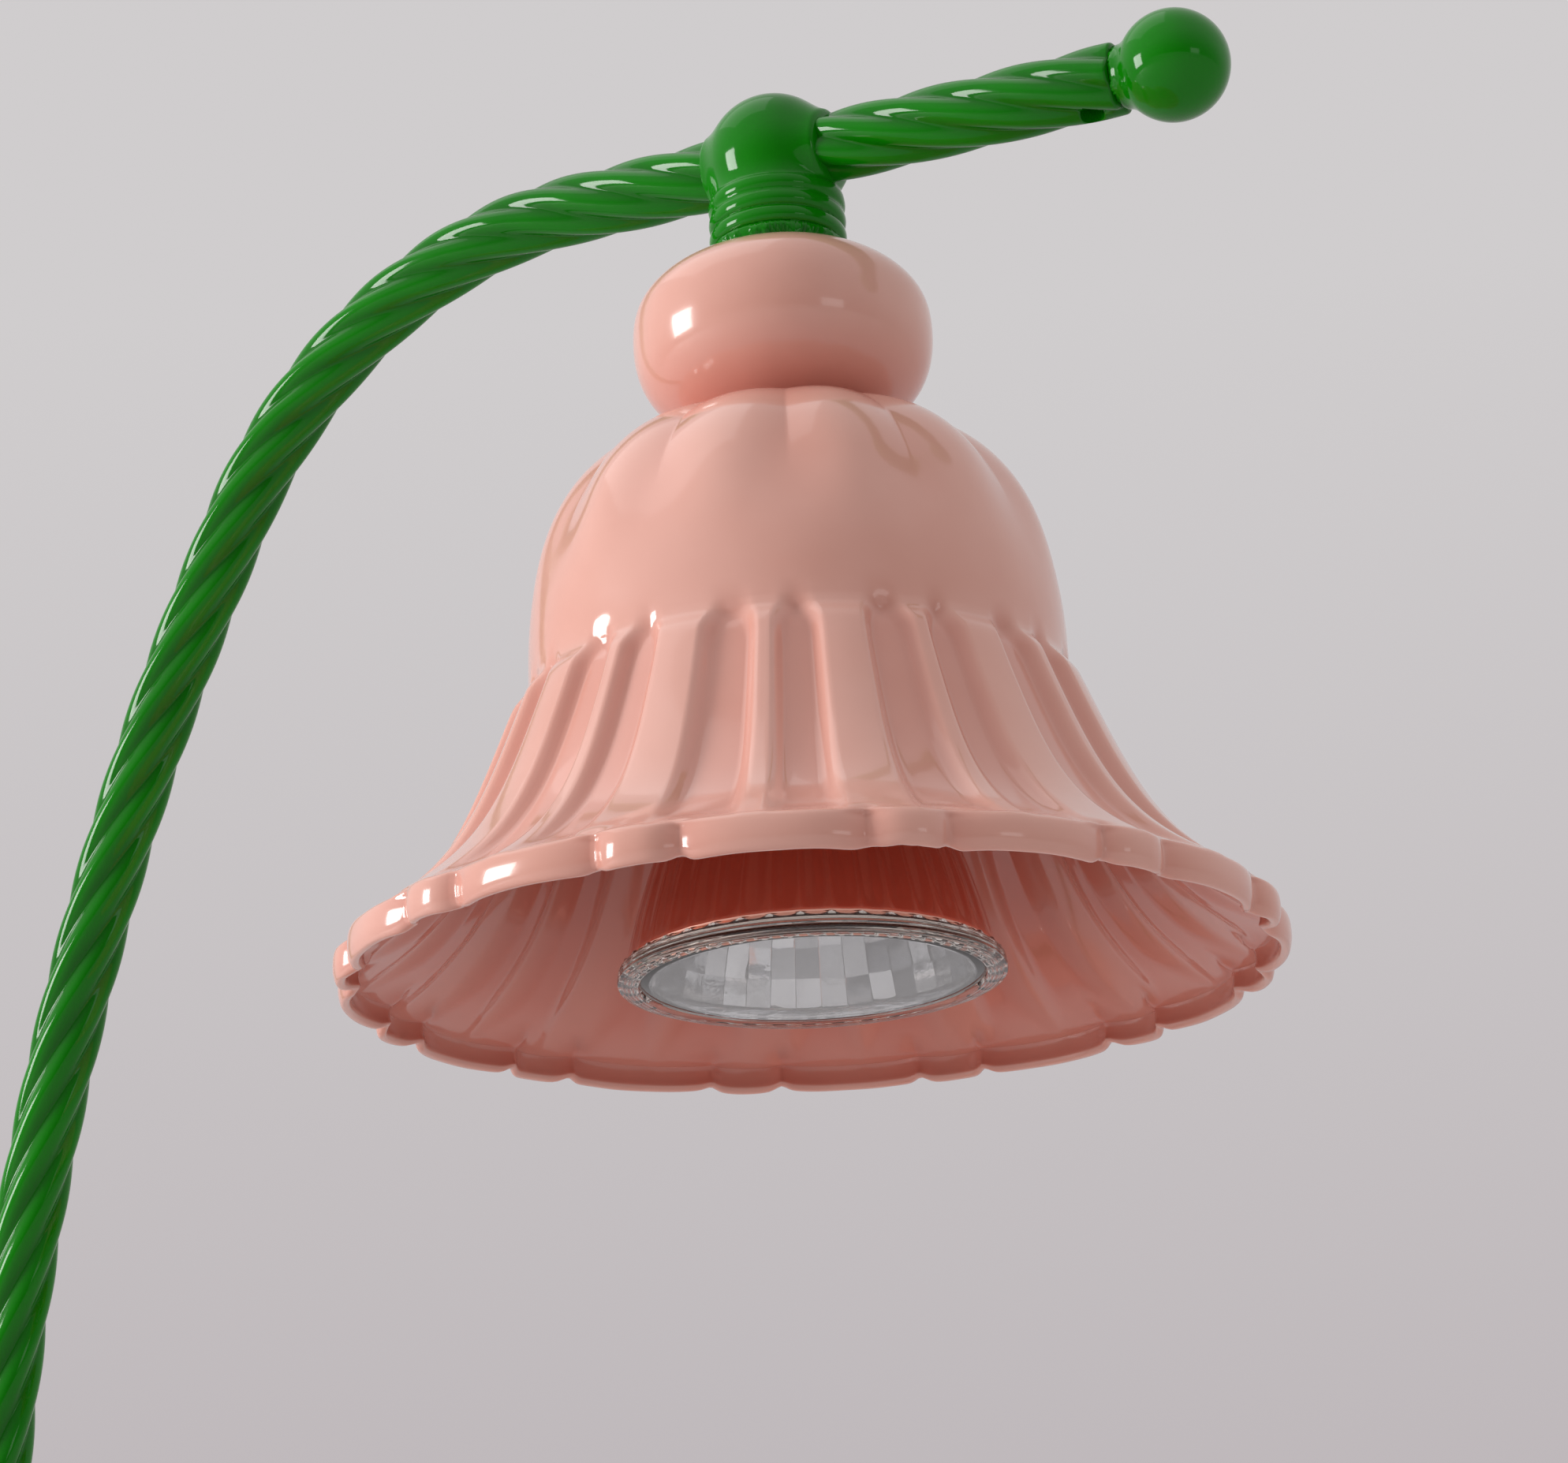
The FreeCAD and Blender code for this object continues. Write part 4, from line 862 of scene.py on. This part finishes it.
def bowlOutline(shape, inset, count):
    bowl = shape["radius"] - shape["lipStep"]
    share = np.linspace(0, 1, count)
    radius = shape["neck"] + (bowl - shape["neck"]) * np.clip(1 - share ** 1.25, 0, 1) ** 0.9
    return np.stack([radius - inset, bulbFront + shape["lip"] + shape["depth"] * share], axis=1)


def makeTurned(name, outline, columns, slot, replaced=(), finish=None, wave=None):
    points = turnedPoints(outline, columns, shadeAxis, wave)
    makePiece(name, points, gridFaces(len(outline), columns, True), "bulb", slot, replaced, finish)


def makeBowl(shape, coating):
    outer = bowlOutline(shape, 0.0, 40)
    inner = bowlOutline(shape, shape["wall"] - 0.15, 24)[::-1]
    outline = np.concatenate([outer, inner])

    def flutes(angle, row):
        if row >= len(outer):
            return 0.0
        fade = softStep(row / 3) * softStep((len(outer) - 1 - row) / 6)
        return -shape["fluteDepth"] * fade * (0.5 - 0.5 * np.cos(shape["flutes"] * angle))

    makeTurned("bulbBowl", outline, shape["flutes"] * 8, "reflector_glass", ["bulb_reflector"], coating, flutes)


def makeLip(shape):
    # clear ring with turned grooves below and outside; its top edge has a cusp at each flute
    radius = shape["radius"]
    inside = radius - shape["lipStep"] - shape["wall"]
    low, high = bulbFront, bulbFront + shape["lip"]
    groove = []
    count, deep = shape["frontGrooves"]
    for share in np.linspace(0, 1, shape["lipRows"]):
        wave = deep * (1 - abs(math.sin(math.pi * share * count)))
        groove.append((inside + (radius - 0.5 - inside) * share, low + wave + 0.35 * share ** 3))
    side = []
    count, deep = shape["sideGrooves"]
    for share in np.linspace(0, 1, shape["lipRows"]):
        wave = deep * (1 - abs(math.sin(math.pi * share * count)))
        side.append((radius - wave - 0.25 * share ** 2, low + 0.45 + (shape["lip"] - 0.8) * share))
    top = [(radius - 0.5, high - 0.15), (radius - 0.9, high), (radius - shape["lipStep"], high)]
    back = [(radius - shape["lipStep"] - shape["wall"] + 0.1, high), (inside, high - 1.2)]
    outline = np.array(groove + side + top + back)
    columns = shape["flutes"] * 10
    points = turnedPoints(outline, columns, shadeAxis)
    angle = 2 * math.pi * np.arange(columns) / columns
    cusps = shape["cusp"] * (0.5 - np.abs(np.sin(shape["flutes"] * angle / 2)))
    crown = len(groove) + len(side)
    for row, share in ((crown - 1, 0.4), (crown, 1.0), (crown + 1, 1.0), (crown + 2, 0.3)):
        points[row * columns:(row + 1) * columns, 2] += cusps * share
    makePiece("bulbLip", points, gridFaces(len(outline), columns, True), "bulb", "reflector_glass")


def makeMirror(shape, silver):
    # a smooth band next to the lip, then rows of flat facets that each lean their own way
    columns = shape["facetColumns"]
    gap = shape["facetGap"]
    across = np.array([gap, 1 - gap, 1 - gap, gap])
    bowl = bowlOutline(shape, shape["wall"] + shape["mirrorGap"], 60)
    bowl = bowl[bowl[:, 1] > bulbFront + shape["bandHeight"]]
    picked = bowl[np.linspace(0, len(bowl) - 4, shape["facetRows"] + 1).astype(int)]
    points, faces, reflectionTones = [], [], []
    # painted reflection: a random tone for each facet, shared in part along its column, picks how dark the
    # facet is painted
    columnReflectionTone = chance.uniform(0, 1, columns)
    for row in range(shape["facetRows"]):
        for column in range(columns):
            turns = 2 * math.pi * (column + across) / columns
            corners = picked[[row, row, row + 1, row + 1]]
            quad = np.stack([shadeAxis + corners[:, 0] * np.cos(turns), corners[:, 0] * np.sin(turns),
                             corners[:, 1]], axis=1)
            middle = quad.mean(axis=0)
            out = np.array([math.cos(turns.mean()), math.sin(turns.mean()), 0.0])
            lean = np.array([[-1, -1], [1, -1], [1, 1], [-1, 1]]) @ chance.normal(0, shape["facetTilt"], 2)
            quad = middle + (quad - middle) * shape["facetSpread"] + np.outer(lean, out)
            faces.append(tuple(range(len(points), len(points) + 4)))
            points.extend(quad)
            own = (1 - shape["columnShare"]) * chance.uniform()
            reflectionTones.extend([shape["columnShare"] * columnReflectionTone[column] + own] * 4)
    facets = makePiece("bulbFacets", points, faces, "bulb", "reflector_glass", finish=silver, flat=True)
    addMeasure(facets, "paintedLightAndPool", reflectionTones)
    start = bulbFront + shape["bandStart"]
    edge = bowlOutline(shape, shape["wall"] + 0.2, 2)[0][0]
    end, level = picked[0]
    band = np.array([(edge, start), (edge, start + 0.5), (end + 0.08, level + 0.3), (end + 0.30, level + 0.4),
                     (edge + 0.25, start + 0.5), (edge + 0.25, start)])
    makeTurned("bulbBand", band, shape["columns"], "reflector_glass", finish=silver)


def makeFrontGlass(shape):
    radius = shape["radius"] - shape["lipStep"] - shape["wall"] - 0.06
    low, high = bulbFront + 0.5, bulbFront + 2.0
    under = [(radius * share, low - 0.28 * (1 - share ** 2)) for share in np.linspace(0.0, 0.985, 16)]
    over = [(radius * share, high - 0.28 * (1 - share ** 2)) for share in np.linspace(0.985, 0.0, 16)]
    edge = [(radius, low + 0.25), (radius, high - 0.25)]
    makeTurned("bulbFrontGlass", np.array(under + edge + over), shape["columns"], "front_glass",
               ["bulb_front_glass"])


def makeBurner(shape):
    # quartz tube with a round end and its sealed tip, and the coil inside it
    low, high, radius = burnerBox[0][2] + shape["burnerTip"], burnerBox[1][2], shape["burner"]
    turn = np.linspace(0.12, math.pi / 2, 18)
    dome = [(radius * math.sin(t), low + radius - radius * math.cos(t)) for t in turn]
    tip = [(0.15, low - shape["burnerTip"]), (0.55, low - 0.9), (0.75, low - 0.35)]
    tube = [(radius, high - 5.5), (radius - 0.5, high - 4.2), (radius - 0.5, high)]
    outer = np.array(tip + dome[1:] + tube)
    inner = movedIn(outer[4:], shape["burnerWall"])[::-1]
    outline = np.concatenate([outer, inner, [(0.15, low + 1.0)]])
    makeTurned("bulbBurner", outline, shape["burnerColumns"], "quartz", ["bulb_capsule"])
    makeCoil(low)


coilShape = {"turns": 16, "radius": 0.55, "wire": 0.12, "length": 5.4, "above": 6.5, "legs": 9.0}


def makeCoil(low):
    shape = coilShape
    level = low + shape["above"]
    half = shape["length"] / 2
    shares = np.linspace(1, 0.08, 8)
    legs = [[(shadeAxis, side * half, level + shape["legs"] * share) for share in shares] for side in (-1, 1)]
    count = shape["turns"] * 12
    wound = []
    for i in range(count + 1):
        share = i / count
        turn = 2 * math.pi * shape["turns"] * share
        wound.append((shadeAxis + shape["radius"] * math.sin(turn), -half + shape["length"] * share,
                      level + shape["radius"] * math.cos(turn)))
    path = np.array(legs[0] + wound + legs[1][::-1])
    heading = np.gradient(path, axis=0)
    heading /= np.linalg.norm(heading, axis=1)[:, None]
    columns = 8
    rows = []
    across = np.cross(heading[0], (0.0, 0.3, 1.0))
    for place, ahead in zip(path, heading):
        across = across - ahead * (across @ ahead)
        across /= np.linalg.norm(across)
        beside = np.cross(ahead, across)
        angle = 2 * math.pi * np.arange(columns) / columns
        ring = np.outer(np.cos(angle), across) + np.outer(np.sin(angle), beside)
        rows.append(place + shape["wire"] * ring)
    makePiece("bulbCoil", np.concatenate(rows), cappedFaces(len(rows), columns), "bulb", "nickel_pin")


coatLook = {
    "silver": (0.93, 0.94, 0.95), "silverDeeper": (0.86, 0.87, 0.89), "darkReflection": (0.13, 0.135, 0.15),
    "paintedReflectionFrom": 0.42, "paintedReflectionTo": 0.80, "bowl": (0.88, 0.44, 0.34), "bowlDeeperReflectedPink": (0.80, 0.36, 0.27),
    "lacquer": 1.0, "lacquerRoughness": 0.02}


def bowlCoatWithPaintedReflection(look):
    # painted reflection: the coating's pink colour stands for the shade's pink inside mirrored in it
    finish = metal("bowlPaintedReflection", look["bowl"], look["bowlDeeperReflectedPink"], (0.03, 0.10), 200)
    inputs = finish.node_tree.nodes["Principled BSDF"].inputs
    inputs["Coat Weight"].default_value = look["lacquer"]
    inputs["Coat Roughness"].default_value = look["lacquerRoughness"]
    return finish


def silverWithPaintedReflection(look):
    # painted reflection: each facet gets a silver or a dark base colour by its tone, as if it showed a lighter
    # or a darker part of the room
    finish = metal("silverWithPaintedReflection", look["silver"], look["silverDeeper"], (0.02, 0.07), 300)
    nodes = finish.node_tree.nodes
    links = finish.node_tree.links
    shader = nodes["Principled BSDF"]
    usual = shader.inputs["Base Color"].links[0].from_socket
    tone = nodes.new("ShaderNodeAttribute")
    tone.attribute_name = "paintedLightAndPool"
    darkReflection = rangeOf(nodes, links, tone.outputs["Fac"], look["paintedReflectionFrom"], look["paintedReflectionTo"], 0.0, 1.0)
    links.new(mixedColour(nodes, links, darkReflection, usual, look["darkReflection"]), shader.inputs["Base Color"])
    return finish


makeBowl(bulbShape, bowlCoatWithPaintedReflection(coatLook))
makeLip(bulbShape)
makeMirror(bulbShape, silverWithPaintedReflection(coatLook))
makeFrontGlass(bulbShape)
makeBurner(bulbShape)
print("bulb made")


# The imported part's own pieces get their finishes

def dressNodes():
    slots = {part["node"]: part["material_slot"] for part in frame["record"]["subparts"]}
    for node, piece in frame["nodes"].items():
        piece.data.materials.clear()
        piece.data.materials.append(finishes[slots[node]])


dressNodes()
print("packed pieces dressed:", len(frame["nodes"]))


# Floor, room and lamps

# Distances are in metres; a direction is (right, up, nearer) as the camera sees it.
roomLook = {
    "floor": (0.60, 0.575, 0.58), "floorRings": (0.02, 0.2, 0.5, 1.2, 3.0, 8.0), "floorColumns": 96,
    "wallHigh": (0.630, 0.610, 0.616), "wallLow": (0.510, 0.470, 0.486), "wallFrom": (0.10, 0.42),
    "glow": (1.0, 0.985, 0.985), "skyLevel": 0.86, "dimLevel": 0.0, "dimToward": (0.25, -0.55, 1.0),
    "dimFrom": (-0.4, 0.75), "glossyDark": 0.13, "glossyFrom": (-0.1, 0.7)}
panelLook = {
    "window": {"toward": (-0.98, 0.14, 0.14), "distance": 1.2, "size": (0.40, 0.42), "power": 8.0},
    "farWindow": {"toward": (0.58, 0.35, 0.73), "distance": 1.6, "size": (0.46, 0.24), "power": 0.45},
    "softTop": {"toward": (-0.45, 0.85, -0.4), "distance": 1.6, "size": (1.2, 1.2), "power": 2.4}}
panelLook["window"]["colour"] = (1.0, 0.99, 0.98)   # the others are white
lampTarget = Vector((shadeAxis * mm, 0, 0.230))   # the middle of the shade and bead


def seenToward(direction):
    right, up, forward = viewAxes(cameraLook)
    return (right * direction[0] + up * direction[1] - forward * direction[2]).normalized()


def makeFloor(look):
    finish, nodes, links, shader, place = newFinish("floorPaint")
    cloud = cloudAt(nodes, links, place, noiseScale["floorCloud"], 3)
    darker = tuple(0.965 * part for part in look["floor"])
    links.new(mixedColour(nodes, links, cloud, look["floor"], darker), shader.inputs["Base Color"])
    shader.inputs["Roughness"].default_value = 0.75
    shader.inputs["Specular IOR Level"].default_value = 0.2
    rings, columns = look["floorRings"], look["floorColumns"]
    points = turnedPoints([(radius / mm, 0.0) for radius in rings], columns, 0.0)
    faces = gridFaces(len(rings), columns) + [tuple(range(columns))]
    floor = added("floor", meshOf("floor", points, faces, finish))


def makeRoom(look):
    # soft light that is weaker from the viewer's side and from below; what is seen directly is a pale wall
    world = bpy.data.worlds.new("room")
    world.use_nodes = True
    bpy.context.scene.world = world
    nodes = world.node_tree.nodes
    links = world.node_tree.links
    shown = nodes["Background"]
    output = nodes["World Output"]
    place = nodes.new("ShaderNodeTexCoord").outputs["Generated"]
    parts = nodes.new("ShaderNodeSeparateXYZ")
    links.new(place, parts.inputs["Vector"])
    height = rangeOf(nodes, links, parts.outputs["Z"], *look["wallFrom"], 0, 1)
    links.new(mixedColour(nodes, links, height, look["wallLow"], look["wallHigh"]), shown.inputs["Color"])
    facing = nodes.new("ShaderNodeVectorMath")
    facing.operation = "DOT_PRODUCT"
    facing.inputs[1].default_value = seenToward(look["dimToward"])
    links.new(place, facing.inputs[0])
    glow = nodes.new("ShaderNodeBackground")
    glow.inputs["Color"].default_value = (*look["glow"], 1)
    facingValue = facing.outputs["Value"]
    level = rangeOf(nodes, links, facingValue, *look["dimFrom"], look["skyLevel"], look["dimLevel"])
    links.new(level, glow.inputs["Strength"])
    mirrored = nodes.new("ShaderNodeBackground")
    links.new(shown.inputs["Color"].links[0].from_socket, mirrored.inputs["Color"])
    darkReflection = rangeOf(nodes, links, facingValue, *look["glossyFrom"], 1.0, look["glossyDark"])
    links.new(darkReflection, mirrored.inputs["Strength"])
    rays = nodes.new("ShaderNodeLightPath")
    bent = nodes.new("ShaderNodeMath")
    bent.operation = "MAXIMUM"
    links.new(rays.outputs["Is Glossy Ray"], bent.inputs[0])
    links.new(rays.outputs["Is Transmission Ray"], bent.inputs[1])
    lit = chooseShader(nodes, links, bent.outputs["Value"], glow.outputs["Background"],
                       mirrored.outputs["Background"])
    final = chooseShader(nodes, links, rays.outputs["Is Camera Ray"], lit, shown.outputs["Background"])
    links.new(final, output.inputs["Surface"])


def chooseShader(nodes, links, share, usual, chosen):
    mix = nodes.new("ShaderNodeMixShader")
    links.new(share, mix.inputs["Fac"])
    links.new(usual, mix.inputs[1])
    links.new(chosen, mix.inputs[2])
    return mix.outputs["Shader"]


def addPanel(name, look):
    # a soft panel that faces the shade
    heading = seenToward(look["toward"])
    data = bpy.data.lights.new(name, "AREA")
    data.shape = "RECTANGLE"
    data.size, data.size_y = look["size"]
    data.energy = look["power"]
    data.color = look.get("colour", (1, 1, 1))
    panel = added(name, data)
    panel.location = lampTarget + heading * look["distance"]
    panel.rotation_euler = (-heading).to_track_quat("-Z", "Y").to_euler()


makeFloor(roomLook)
makeRoom(roomLook)
for panelName, panel in panelLook.items():
    addPanel(panelName, panel)
bpy.context.scene.view_settings.view_transform = "Standard"
print("room and lamps made")
